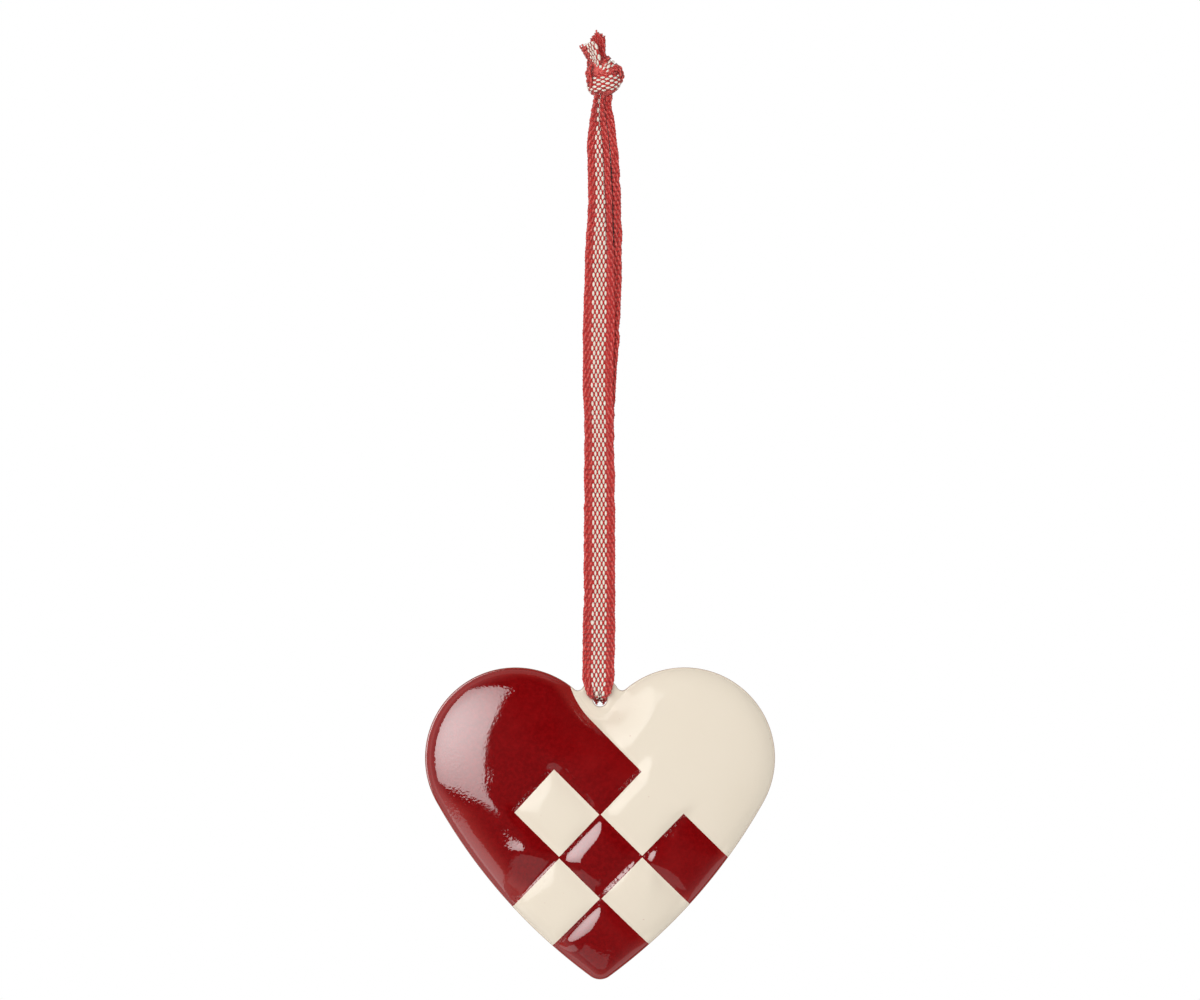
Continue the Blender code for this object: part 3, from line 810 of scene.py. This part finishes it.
def add_pressed_side(builder, body, sheet, height, step, side):
    """The front of the heart, where the side is 1, or its back, where it is -1."""
    plate = BACK_DEPTH + side * TAB_THICKNESS / 2
    flat, faces = sheet
    builder.add_triangles(level_at(flat, plate), faces[:, ::side])
    insets = [SEAM_WIDTH + ring * MM for ring in RIM_RINGS]
    rings = [heart_body(inset) for inset in insets]
    raised = [lifted(ring, height(ring, body)) for ring in rings]
    builder.add_strip(np.stack([level_at(body, plate)] + raised), (0, 1, 2, 3)[::side])
    inner = hex_points(step)
    inner = inner[inside_loop(inner, heart_body(insets[-1] + 0.6 * step))]
    flat, faces = flat_triangles(rings[-1:], [inner], lambda middles: inside_loop(middles, rings[-1]))
    builder.add_triangles(lifted(flat, height(flat, body)), faces[:, ::side])


def add_rounded_edge(builder, make_loop, order):
    loops = []
    for turn in np.linspace(0.0, pi, EDGE_TURNS):
        height = BACK_DEPTH + TAB_THICKNESS / 2 * cos(turn)
        loops.append(level_at(make_loop(EDGE_ROUNDING * (1 - sin(turn))), height))
    builder.add_strip(np.stack(loops), order)


def make_heart(red_enamel, cream_enamel):
    builder = Builder()
    body = heart_body(SEAM_WIDTH)
    sheet = seam_and_tab(body)
    add_pressed_side(builder, body, sheet, front_height, FRONT_STEP, 1)
    add_pressed_side(builder, body, sheet, back_height, BACK_STEP, -1)
    add_rounded_edge(builder, heart_with_tab, (0, 3, 2, 1))
    add_rounded_edge(builder, hole_ring, (1, 2, 3, 0))
    data = builder.mesh("enamelled_heart")
    heart = bpy.data.objects.new("enamelled_heart", data)
    bpy.context.scene.collection.objects.link(heart)
    weld(heart)
    data.materials.append(red_enamel)
    data.materials.append(cream_enamel)
    corners = np.empty(len(data.vertices) * 3)
    data.vertices.foreach_get("co", corners)
    corners = corners.reshape(-1, 3)
    middles = np.array([corners[list(face.vertices)].mean(axis=0) for face in data.polygons])
    is_cream = ~red_squares(middles[:, 0], middles[:, 1] + MIDDLE_HEIGHT)
    data.polygons.foreach_set("material_index", is_cream.astype(int))
    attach(heart, "root")
    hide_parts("heart")


def weld(piece):
    mesh = bmesh.new()
    mesh.from_mesh(piece.data)
    bmesh.ops.remove_doubles(mesh, verts=mesh.verts, dist=WELD_DISTANCE)
    bmesh.ops.recalc_face_normals(mesh, faces=mesh.faces)
    mesh.to_mesh(piece.data)
    mesh.free()


def in_red(nodes, along, down):
    """One in the red squares and the red lobe and zero elsewhere, from places in millimetres."""
    def past(here, crossing, edge, lean):
        slope = tan(radians(lean))
        line = crossing * slope + (edge - slope * LEAN_CENTRE) / MM
        return nodes.maths("GREATER_THAN", here, line)

    before_bend = nodes.maths("MAXIMUM", LOBE_EDGE_BEND_START / MM - along, 0.0)
    bent = before_bend * before_bend * (0.5 * MM / LOBE_EDGE_BEND_RADIUS) + down
    rows = [
        past(here, along, edge, lean)
        for here, edge, lean in zip((bent, down, down), DOWN_EDGES, DOWN_LEANS)
    ]
    columns = [past(along, down, edge, lean) for edge, lean in zip(ALONG_EDGES, ALONG_LEANS)]
    total = sum(rows[1:] + columns, rows[0])
    even = 1.0 - nodes.maths("MODULO", total, 2.0)
    return rows[0] * nodes.maths("MAXIMUM", 1.0 - columns[0], even)


def enamel_colour(nodes, place, red):
    """Clouded paint with pits, a brown seam, and painted light: lighter red low on the rim, most on the
    lower left.
    """
    x, y, z = nodes.split(place)
    cloud = nodes.noise(place, 60.0, 3.0, 0.6)
    mottle = nodes.ramp(nodes.noise(place, 1300.0, 2.0, 0.6), 0.30, 0.72)
    red_paint = nodes.mix(mottle, DEEP_RED, USUAL_RED)
    red_paint = nodes.mix(nodes.ramp(cloud, 0.45, 0.70) * 0.6, red_paint, CLOUDY_RED)
    pit = nodes.maths("GREATER_THAN", nodes.noise(place, 1500.0, 0.0), 0.885)
    cream_paint = nodes.mix(pit * 0.4, nodes.mix(cloud, PALE_CREAM, WARM_CREAM), PIT_BROWN)
    colour = nodes.mix(red, cream_paint, red_paint)
    lift = z - BACK_DEPTH
    # Painted light from the floor: the red turns lighter low on the rim, and higher up on the lower left
    # flank.
    flank = nodes.ramp(x, -0.005, -0.022) * nodes.ramp(y, 0.009, 0.002)
    painted_bounce_light = nodes.ramp(flank * -0.0018 + lift, 0.0029, 0.0013)
    colour = nodes.mix(painted_bounce_light * 0.75 * red, colour, PAINTED_BOUNCE_RED)
    at_seam = nodes.ramp(nodes.maths("ABSOLUTE", lift), 0.00050, 0.00036)
    return nodes.mix(at_seam * 0.45, colour, SEAM_BROWN)


def enamel(name, gloss):
    material, nodes, shader = new_material(name)
    place = nodes.place()
    x, y, _ = (part * (1 / MM) for part in nodes.split(place))
    y = y + MIDDLE_HEIGHT / MM
    ragged = nodes.noise(place, 2200.0, 3.0, 0.7) * 0.14 - 0.07
    along = (x - y) * sqrt(0.5) + ragged
    down = (x + y) * -sqrt(0.5) - ragged

    def red_at(shift_along, shift_down):
        return in_red(nodes, along + shift_along, down + shift_down)

    spill = 0.11
    red = red_at(spill, spill)
    for shifts in ((spill, -spill), (-spill, spill), (-spill, -spill)):
        red = nodes.maths("MAXIMUM", red, red_at(*shifts))

    both_sides = nodes.maths("MINIMUM", red_at(0.75, 0.0), red_at(-0.75, 0.0))
    crumbly = nodes.ramp(nodes.noise(place, 260.0, 0.0), 0.42, 0.55)
    beside = (1.0 - both_sides) * red_at(0.0, 0.0) * crumbly
    crumbs = nodes.ramp(nodes.noise(place, 2000.0, 1.0), 0.52, 0.64) * beside
    rough_patch = nodes.ramp(nodes.noise(place, 90.0, 1.0), 0.44, 0.60)
    grain = nodes.noise(place, 1900.0, 1.0) * (rough_patch * 1.5 + 0.5)
    height = nodes.noise(place, 330.0, 1.0) * 0.9 + grain + crumbs * 10.0
    nodes.fed(shader, {
        "Base Color": enamel_colour(nodes, place, red),
        "Roughness": 0.05,
        "Specular IOR Level": gloss,
        "Coat Weight": 0.0,
        "Normal": nodes.bump(height, 0.000010),
    })
    return material


def drawn_route(stations):
    """Points and widths at even steps along a smooth curve through the stations."""
    before = np.vstack((2 * stations[0] - stations[1], stations, 2 * stations[-1] - stations[-2]))
    samples = []
    shares = np.arange(CURVE_STEPS)[:, None] / CURVE_STEPS
    for k in range(len(stations) - 1):
        p0, p1, p2, p3 = before[k : k + 4]
        samples.append(
            p1
            + (p2 - p0) * shares / 2
            + (2 * p0 - 5 * p1 + 4 * p2 - p3) * shares**2 / 2
            + (3 * p1 - p0 - 3 * p2 + p3) * shares**3 / 2
        )
    dense = np.vstack(samples + [stations[-1:]])
    steps = np.linalg.norm(np.diff(dense[:, :3], axis=0), axis=1)
    travelled = np.concatenate(([0.0], np.cumsum(steps)))
    count = max(4, round(travelled[-1] / ROUTE_STEP))
    even = np.linspace(0.0, travelled[-1], count + 1)
    return even, np.column_stack([np.interp(even, travelled, column) for column in dense.T])


class Track:
    """Centre line of a run of tape, with the shape of its cross-section along the way.

    A point of the tape is given by u along it, v across it and w out of its face. The fold
    gives the slope of the cross-section at each v. A centred track keeps the middle between
    its edges on the centre line, and a level one keeps them at its height, outside the hole.
    """

    def __init__(self, stations, outward=None, fold=None, centred=False, level=False):
        self.u, route = drawn_route(np.asarray(stations, float))
        self.centre = route[:, :3]
        self.width = route[:, 3]
        self.length = self.u[-1]
        self.flat_width = np.clip(self.width, *FLAT_WIDTHS)
        forward = np.gradient(self.centre, self.u, axis=0)
        forward /= np.linalg.norm(forward, axis=1, keepdims=True)
        if outward is None:
            across = np.array([1.0, 0.0, 0.0]) - forward * forward[:, :1]
        else:
            across = np.cross(forward, outward(self.centre))
        across /= np.linalg.norm(across, axis=1, keepdims=True)
        self.forward = forward
        self.across = across
        self.normal = np.cross(across, forward)
        self.v = np.linspace(-SECTION_REACH, SECTION_REACH, SECTION_COLUMNS)
        self.slope = np.broadcast_to(fold(self, self.v), (len(self.u), len(self.v)))
        self.out_across = self.summed(np.cos(self.slope))
        self.out_normal = self.summed(np.sin(self.slope))
        if centred:
            self.out_across = self.out_across - self.between_edges(self.out_across)
        if level:
            beyond_hole = 1 - near_hole(self)[:, None]
            self.out_normal = self.out_normal - self.between_edges(self.out_normal) * beyond_hole

    def summed(self, slopes):
        step = self.v[1] - self.v[0]
        middles = (slopes[:, 1:] + slopes[:, :-1]) / 2 * step
        total = np.concatenate((np.zeros((len(slopes), 1)), np.cumsum(middles, axis=1)), axis=1)
        return total - total[:, len(self.v) // 2, None]

    def between_edges(self, table):
        return (table[:, EDGE_COLUMN, None] + table[:, -1 - EDGE_COLUMN, None]) / 2

    def at(self, u, v, w):
        """Where the points of the tape lie in the heart's frame."""
        u, v, w = np.broadcast_arrays(u, v, w)
        place = np.clip(u / self.length * (len(self.u) - 1), 0, len(self.u) - 1.0001)
        row = place.astype(int)
        row_share = place - row
        place = np.clip((v - self.v[0]) / (self.v[1] - self.v[0]), 0, len(self.v) - 1.0001)
        column = place.astype(int)
        column_share = place - column

        def on_line(table):
            share = row_share[..., None]
            return table[row] * (1 - share) + table[row + 1] * share

        def on_sheet(table):
            near, far = (
                table[k, column] * (1 - column_share) + table[k, column + 1] * column_share
                for k in (row, row + 1)
            )
            return near * (1 - row_share) + far * row_share

        lean = on_sheet(self.slope)
        overhang = u - np.clip(u, 0.0, self.length)
        return (
            on_line(self.centre)
            + on_line(self.forward) * overhang[..., None]
            + on_line(self.across) * (on_sheet(self.out_across) - w * np.sin(lean))[..., None]
            + on_line(self.normal) * (on_sheet(self.out_normal) + w * np.cos(lean))[..., None]
        )


def add_yarn(builder, track, u, v, w, half_width, half_height, slot):
    """A tube round a line given in the tape's own lengths."""
    sides = 6
    heading_u, heading_v = np.gradient(u), np.gradient(v)
    size = np.maximum(np.hypot(heading_u, heading_v), 1e-12)
    side_u, side_v = heading_v / size, -heading_u / size
    angles = np.arange(sides) * 2 * pi / sides + pi / sides
    reach = np.cos(angles)[None, :] * np.broadcast_to(half_width, u.shape)[:, None]
    rise = np.sin(angles)[None, :] * np.broadcast_to(half_height, u.shape)[:, None]
    rings = track.at(
        u[:, None] + reach * side_u[:, None], v[:, None] + reach * side_v[:, None], w[:, None] + rise
    )
    builder.add_tube(rings, slot)


def wandering(track, random, start, offset):
    """A function that spreads the yarns over the tape's width, with edges that wander a little."""
    marks = np.arange(start - WANDER_MARGIN, track.length + WANDER_MARGIN, WANDER_STEP)
    wander = random.normal(0.0, WANDER, (2, len(marks)))
    scale = track.flat_width / TAPE_WIDTH

    def placed(u, v):
        strays = np.where(v > 0, np.interp(u, marks, wander[0]), np.interp(u, marks, wander[1]))
        spread = v * np.interp(u, track.u, scale) * YARN_SPREAD
        return spread + strays * (v / WANDER_FULL_AT) ** 2 + offset

    return placed


def stepped(start, end, step, least=5):
    """Even places from the start to the end, about a step apart."""
    return np.linspace(start, end, max(least, round((end - start) / step)))


def add_warp(add, random, warp, u, slub):
    """One warp. It floats on both faces in turn, and red floats slant and lie in pairs."""
    phase = pi * u / ROW_PITCH + pi * warp
    beat = np.cos(phase)
    up = np.tanh(FLOAT_SHARPNESS * beat) / tanh(FLOAT_SHARPNESS)
    row = np.floor(u / ROW_PITCH + 0.5).astype(int)
    uneven = random.normal(0.0, 1.0, (3, row.max() - row.min() + 1))[:, row - row.min()]
    from_edge = min(warp, WARP_COUNT - 1 - warp)
    kind = 0 if from_edge < EDGE_WARPS else 1
    v = (warp - MIDDLE_WARP) * WARP_PITCH + UNEVEN_PLACE * uneven[0]
    if kind == 0:
        inward = 1.0 if warp < MIDDLE_WARP else -1.0
        slant = OUTER_FLOAT_SLANT if from_edge == 0 else FLOAT_SLANT
        pair = 1 if from_edge % 2 == 0 else -1
        v = v + inward * (PAIR_SHIFT * pair + slant * np.sin(phase))
    w = WARP_LIFTS[kind] * up + UNEVEN_PLACE * uneven[1]
    swell = FLOAT_SWELLS[kind] * np.maximum(beat, 0.0)
    half_width = (WARP_HALF_WIDTH + swell) * (1 + UNEVEN_WIDTH * uneven[2])
    if warp == EDGE_WARPS and slub:
        half_width = half_width + SLUB_SWELL * np.exp(-(((u - slub) / SLUB_REACH) ** 2))
    add(u, v, w, half_width, WARP_HALF_HEIGHT, kind)


def add_weft(add, start, end, low, high, cut):
    """One yarn that goes to and fro, and stops where a slanted cut leaves it no room."""
    columns = stepped(low, high, WEFT_STEP, 4)
    first_row = ceil((start + WEFT_MARGIN) / ROW_PITCH)
    last_row = floor((end - WEFT_MARGIN) / ROW_PITCH)
    points = []
    for row in range(first_row, last_row + 1):
        forwards = (row - first_row) % 2 == 0
        line = columns if forwards else columns[::-1]
        if cut:
            line = line[row * ROW_PITCH + WEFT_CUT_MARGIN < end - cut(line)]
            if len(line) < 2:
                break
        w = -WEFT_WAVE * np.cos(pi * (line / WARP_PITCH + MIDDLE_WARP) + pi * row)
        half_width = np.full(len(line), WEFT_HALF_WIDTH)
        half_width[[0, -1]] = WEFT_END_HALF_WIDTH
        points.append(np.column_stack((np.full(len(line), row * ROW_PITCH), line, w, half_width)))
        if row < last_row:
            outward = 1.0 if line[-1] > 0 else -1.0
            for turn in (0.3, 0.5, 0.7):
                bulge = outward * WEFT_TURN_BULGE * sin(pi * turn)
                points.append(((row + turn) * ROW_PITCH, line[-1] + bulge, 0.0, WEFT_TURN_HALF_WIDTH))
    if points:
        u, v, w, half_width = np.vstack(points).T
        add(u, v, w, half_width, WEFT_HALF_HEIGHT, 2)


def weave(
    builder, track, random, start=0.0, warps=range(WARP_COUNT), fray=0.0, cut=None, offset=0.0, slub=None
):
    """All yarns of a run of tape. The cut says how much shorter it is at each place across it."""
    end = track.length
    placed = wandering(track, random, start, offset)

    def add(u, v, w, half_width, half_height, slot):
        add_yarn(builder, track, u, placed(u, v), w, half_width, half_height, slot)

    for warp in warps:
        trimmed = cut((warp - MIDDLE_WARP) * WARP_PITCH) if cut else 0.0
        trimmed += random.uniform(-fray, fray * 0.3)
        add_warp(add, random, warp, stepped(start, end - trimmed, WARP_STEP), slub)

    low = (warps[0] - MIDDLE_WARP) * WARP_PITCH
    high = (warps[-1] - MIDDLE_WARP) * WARP_PITCH
    across = np.linspace(low, high, 2 * len(warps) - 1)
    stop = end - SHEET_SHORTER_BY - (cut(across) if cut else 0.0) - fray
    shares = np.linspace(0.0, 1.0, max(4, round((end - start) / SHEET_STEP)))[:, None]
    u = start + shares * (np.broadcast_to(stop, across.shape) - start)
    both_ways = np.concatenate((u, u[:, ::-1]), axis=1)
    there_and_back = np.broadcast_to(np.concatenate((across, across[::-1])), both_ways.shape)
    w = np.repeat((SHEET_HALF_THICKNESS, -SHEET_HALF_THICKNESS), len(across))
    builder.add_tube(track.at(both_ways, placed(both_ways, there_and_back), w), 2)

    for warp, side in ((0, -1.0), (WARP_COUNT - 1, 1.0)):
        if warp in warps and not cut:
            u = stepped(start, end, WARP_STEP)
            v = np.full(len(u), side * (MIDDLE_WARP * WARP_PITCH + EDGE_YARN_OFFSET))
            add(u, v, np.zeros(len(u)), *EDGE_YARN_HALVES, 2)
    add_weft(add, start, end, low, high, cut)


def pleats_for(left_over):
    """How steeply the tape is pleated, from the share of its width that is left."""
    lost = np.sqrt(np.clip(1 - left_over, 0.0, 0.95))
    return 2 * lost * (1 + 0.14 * lost**2)


def near_hole(track):
    return 1 - ease(track.u, *HOLE_FOLDS_END)


def from_hole(stations, height=0.0):
    shifted = np.array(stations, float)
    shifted[:, 1] += HOLE_Y
    shifted[:, 2] += height
    return shifted


def front_fold(track, v):
    """Lobes in the hole, and towards the knot a flat fold that hides the cream stripe."""
    hole = near_hole(track)
    lobes = np.interp(v, *np.transpose(HOLE_FOLDS))
    lost = np.clip(1 - track.width / track.flat_width, 0.0, HOLE_FOLDS_LOSE_MOST)
    at_hole = (np.sqrt(lost / HOLE_FOLDS_LOSE) * hole)[:, None] * lobes
    edges = 2 * EDGE_WARPS * WARP_PITCH * track.flat_width / TAPE_WIDTH
    stripe = track.flat_width - edges
    seen = np.clip(track.width - EDGES_SEEN * edges, LEAST_STRIPE, stripe)
    ripple = pleats_for((track.width - seen) / edges) * (1 - hole)
    past = np.abs(v) - STRIPE_HALF
    on_edges = np.sign(v) * np.sin(2 * pi * past / EDGE_PLEAT) * (past >= 0)
    tuck = tucked(stripe - seen, v) * (1 - hole)[:, None]
    return at_hole + tuck + ripple[:, None] * on_edges


def tucked(lost, v):
    """A flat fold that hides this much of the stripe under the right red edge."""
    depths = np.linspace(0.0, DEEPEST_TUCK, TUCK_DEPTHS)[:, None]
    fine = np.linspace(-SECTION_REACH, SECTION_REACH, FINE_COLUMNS)
    losses = (1 - np.cos(turned_under(depths, fine))).sum(axis=1) * (fine[1] - fine[0])
    depth = np.interp(lost, losses, depths[:, 0])
    return turned_under(depth[:, None], v)


def turned_under(depth, v):
    """Slope of a fold that goes back by this depth before the stripe's right side."""
    first = STRIPE_HALF - 2 * depth
    second = STRIPE_HALF - depth
    half = FOLD_TURN / 2
    return -pi * (ease(v, first - half, first + half) - ease(v, second - half, second + half))


def back_fold(track, v):
    """Lobes in the hole, and towards the knot small pleats, a tight fold and a flat right edge."""
    hole = near_hole(track)
    at_hole = (pleats_for(track.width / track.flat_width) * hole)[:, None]
    raised = ease(track.width, *RAISED_WIDTHS) * (1 - hole)
    left_over = (track.width - FLAT_EDGE_SEEN * raised) / (track.flat_width - FLAT_EDGE_TAKES * raised)
    at_knot = (pleats_for(left_over) * (1 - hole))[:, None]
    raised = raised[:, None]
    pleated = at_knot * (1 - raised * ease(v, *FLAT_EDGE_START))
    small = pleated * np.sin(2 * pi * v / BACK_PLEAT)
    step = pi * raised * (ease(v, *TIGHT_FOLD[0]) - ease(v, *TIGHT_FOLD[1]))
    return small + step - at_hole * np.sin(2 * pi * v / BACK_HOLE_PLEAT)


def curled(lower, upper):
    """Both edges curl away, by the radians for each metre of width."""
    def fold(track, v):
        return np.where(v > 0, -lower * v, -upper * v)[None, :]

    return fold


def beyond(v, place, softness):
    """Zero before the place across the tape and one after it."""
    return 0.5 + 0.5 * np.tanh((v - place) / softness)


def closed_over(track, v):
    """Both red edges fold over the cream and meet in front of it."""
    return pi * (beyond(v, 0.0015, 0.0002) - beyond(-v, 0.0015, 0.0002))[None, :]


def humped(track, v):
    """Both sides fall away from the middle."""
    return -1.3 * np.tanh(v / 0.0006)[None, :]


def leaning(track, v):
    """The tape leans, and its right side folds over to the left."""
    return (1.02 - 0.07 * beyond(-v, 0.0013, 0.0003) - 3.4 * beyond(v, 0.0013, 0.0003))[None, :]


def yarn(name, colours):
    """Fibres of three tones, with painted shade where they turn away and in the crease between the two
    runs.
    """
    material, nodes, shader = new_material(name)
    place = nodes.place()
    _, y, z = nodes.split(place)
    _, _, facing = nodes.split(nodes.geometry("Normal"))
    fleck = nodes.noise(place, 1900.0, 3.0, 0.7)
    drift = nodes.noise(place, 260.0, 2.0, 0.5)
    turned_away_shade, dark, usual, light = colours
    low = nodes.maths("SMOOTH_MIN", fleck * 3.2 - 0.95, 1.0, 0.2)
    high = nodes.maths("SMOOTH_MAX", fleck * 3.6 - 2.0, 0.0, 0.2)
    colour = nodes.mix(nodes.maths("MAXIMUM", low, 0.0), dark, usual)
    colour = nodes.mix(nodes.maths("MINIMUM", high * drift, 1.0), colour, light)
    # Painted shade: the yarn is darker where its surface faces sideways.
    painted_side_shade = nodes.ramp(nodes.maths("ABSOLUTE", facing), 0.85, 0.25)
    colour = nodes.mix(painted_side_shade * 0.78, colour, turned_away_shade)
    # Painted shade in the crease between the two runs near the knot, chosen by height above the floor.
    between = nodes.ramp(z, 0.00098, 0.00080) * nodes.ramp(z, 0.00050, 0.00062)
    shade_between_runs = between * nodes.ramp(y, HOLE_Y + 0.055, HOLE_Y + 0.065)
    nodes.fed(shader, {
        "Base Color": nodes.mix(shade_between_runs * 0.85, colour, PAINTED_GAP_SHADE),
        "Roughness": 0.82,
        "Specular IOR Level": 0.25,
        "Sheen Weight": 0.25,
        "Sheen Roughness": 0.5,
        "Normal": nodes.bump(nodes.noise(place, 5200.0, 2.0), 0.00003),
    })
    return material


def make_cloth(name, builder, materials):
    data = builder.mesh(name)
    for material in materials:
        data.materials.append(material)
    piece = bpy.data.objects.new(name, data)
    bpy.context.scene.collection.objects.link(piece)
    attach(piece, "root")
    return piece


def round_knot(centre):
    """Outward from the axis that the knot is wound about."""
    return (centre - np.array(KNOT_MIDDLE)) * (0.45, 0.0, 1.0)


def away_from(x, y, z):
    middle = np.array([x, HOLE_Y + y, z])
    return lambda centre: centre - middle


def wound(reach_x, reach_z, start, end, places_along):
    """Places that go round the knot, each at its own place along the ribbon."""
    angles = np.radians(np.linspace(start, end, len(places_along)))
    return [
        (0.0008 + reach_x * cos(t), y, KNOT_MIDDLE[2] + reach_z * sin(t))
        for t, y in zip(angles, places_along)
    ]


BAND_PLACES = (0.1228, 0.1229, 0.1230, 0.1231, 0.1233, 0.1236, 0.1237, 0.1235, 0.1232, 0.1230, 0.1228)

# Runs of tape in the knot: places, outward side, fold, and the ways in which each is woven
KNOT_RUNS = {
    "foot_band": (
        wound(0.0032, 0.0022, 215, -145, BAND_PLACES),
        round_knot, curled(600.0, 200.0), ({},),
    ),
    "slanted_band": (
        ((-0.0005, 0.1249, 0.0028), (0.0001, 0.1255, 0.0035), (0.0009, 0.1263, 0.0038),
         (0.0020, 0.1274, 0.0033), (0.0027, 0.1279, 0.0022), (0.0023, 0.1276, 0.0011),
         (0.0010, 0.1264, 0.0007), (-0.0006, 0.1248, 0.0008)),
        away_from(0.0006, 0.1255, 0.0022), curled(300.0, 170.0),
        ({"warps": range(0, 4), "offset": 0.0008}, {"warps": range(11, 15), "offset": -0.0008}),
    ),
    "hump_on_band": (
        ((0.0002, 0.1248, 0.0032), (0.0006, 0.1254, 0.0039), (0.0013, 0.1262, 0.0042),
         (0.0021, 0.1271, 0.0039), (0.0027, 0.1277, 0.0031)),
        away_from(0.0006, 0.1255, 0.0022), humped, ({"warps": range(3, 12)},),
    ),
    "right_bulge": (
        ((0.0024, 0.1262, 0.0038), (0.0036, 0.1265, 0.0036), (0.0043, 0.1256, 0.0032),
         (0.0044, 0.1244, 0.0026), (0.0038, 0.1232, 0.0020)),
        away_from(0.0016, 0.1250, 0.0016), curled(600.0, 600.0),
        ({"warps": range(0, 4), "offset": 0.0023},),
    ),
    "left_turn": (
        ((-0.0020, 0.1272, 0.0030), (-0.0024, 0.1258, 0.0036), (-0.0023, 0.1243, 0.0042),
         (-0.0019, 0.1229, 0.0040), (-0.0012, 0.1217, 0.0032)),
        away_from(-0.0006, 0.1245, 0.0016), curled(700.0, 500.0),
        ({"warps": range(0, 3), "offset": 0.0025},),
    ),
    "long_tail": (
        ((0.0000, 0.1256, 0.0024), (-0.0003, 0.1276, 0.0022), (-0.0004, 0.1302, 0.0019),
         (-0.0004, 0.1322, 0.0016), (-0.0008, 0.1341, 0.0014)),
        None, closed_over,
        ({"fray": 0.0001, "cut": lambda v: 1.1 * (0.0015 - np.abs(np.abs(v) - 0.0015))},),
    ),
    "short_tail": (
        ((-0.0005, 0.1252, 0.0022), (-0.0007, 0.1268, 0.0030), (-0.0010, 0.1284, 0.0037),
         (-0.0015, 0.1302, 0.0038), (-0.0024, 0.1322, 0.0035)),
        None, leaning,
        ({"fray": 0.0001, "cut": lambda v: np.clip(0.26 * (v + 0.0029), 0.0, 0.0013)},),
    ),
}


def make_knot(random, materials):
    builder = Builder()
    angles = np.arange(KNOT_CORE_SIDES) * 2 * pi / KNOT_CORE_SIDES
    inset_x, inset_z = KNOT_CORE_INSET
    rings = [
        np.column_stack((
            x + (half_width - inset_x) * np.cos(angles),
            np.full(KNOT_CORE_SIDES, y),
            z - (half_height - inset_z) * np.sin(angles),
        ))
        for x, y, z, half_width, half_height in from_hole(KNOT_SECTIONS)
    ]
    builder.add_tube(np.array(rings))
    for name, (places, outward, fold, ways) in KNOT_RUNS.items():
        stations = from_hole([(*place, TAPE_WIDTH) for place in places])
        track = Track(stations, outward, fold, centred=name == "long_tail")
        for way in ways:
            weave(builder, track, random, **way)
    knot = make_cloth("tape_knot", builder, materials)
    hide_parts("ribbon_knot")
    return knot


def make_ribbon(materials):
    """The materials are those of the red warp, the cream warp and the red weft."""
    random = np.random.default_rng(7)
    knot = make_knot(random, materials)
    for name, node, at_tab, lying, fold, in_front in (
        ("front_tape", "ribbon_front_run", FRONT_AT_TAB, FRONT_LYING, front_fold, True),
        ("back_tape", "ribbon_back_run", BACK_AT_TAB, BACK_LYING, back_fold, False),
    ):
        into_knot = np.array(lying[-1]) + STEP_INTO_KNOT
        route = np.vstack((from_hole(at_tab, BACK_DEPTH), from_hole((*lying, into_knot))))
        track = Track(route, fold=fold, centred=True, level=in_front)
        builder = Builder()
        weave(builder, track, random, start=RUN_START, slub=SLUB_PLACE if in_front else None)
        piece = make_cloth(name, builder, materials)
        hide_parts(node)


scene = bpy.context.scene
scene.view_settings.view_transform = "Standard"
camera_and_lights(scene)
room(scene)
pale_floor()
make_ribbon((yarn("red_yarn", RED_YARN), yarn("cream_yarn", CREAM_YARN), yarn("weft_yarn", WEFT_YARN)))
make_heart(enamel("red_enamel", 0.88), enamel("cream_enamel", 0.20))
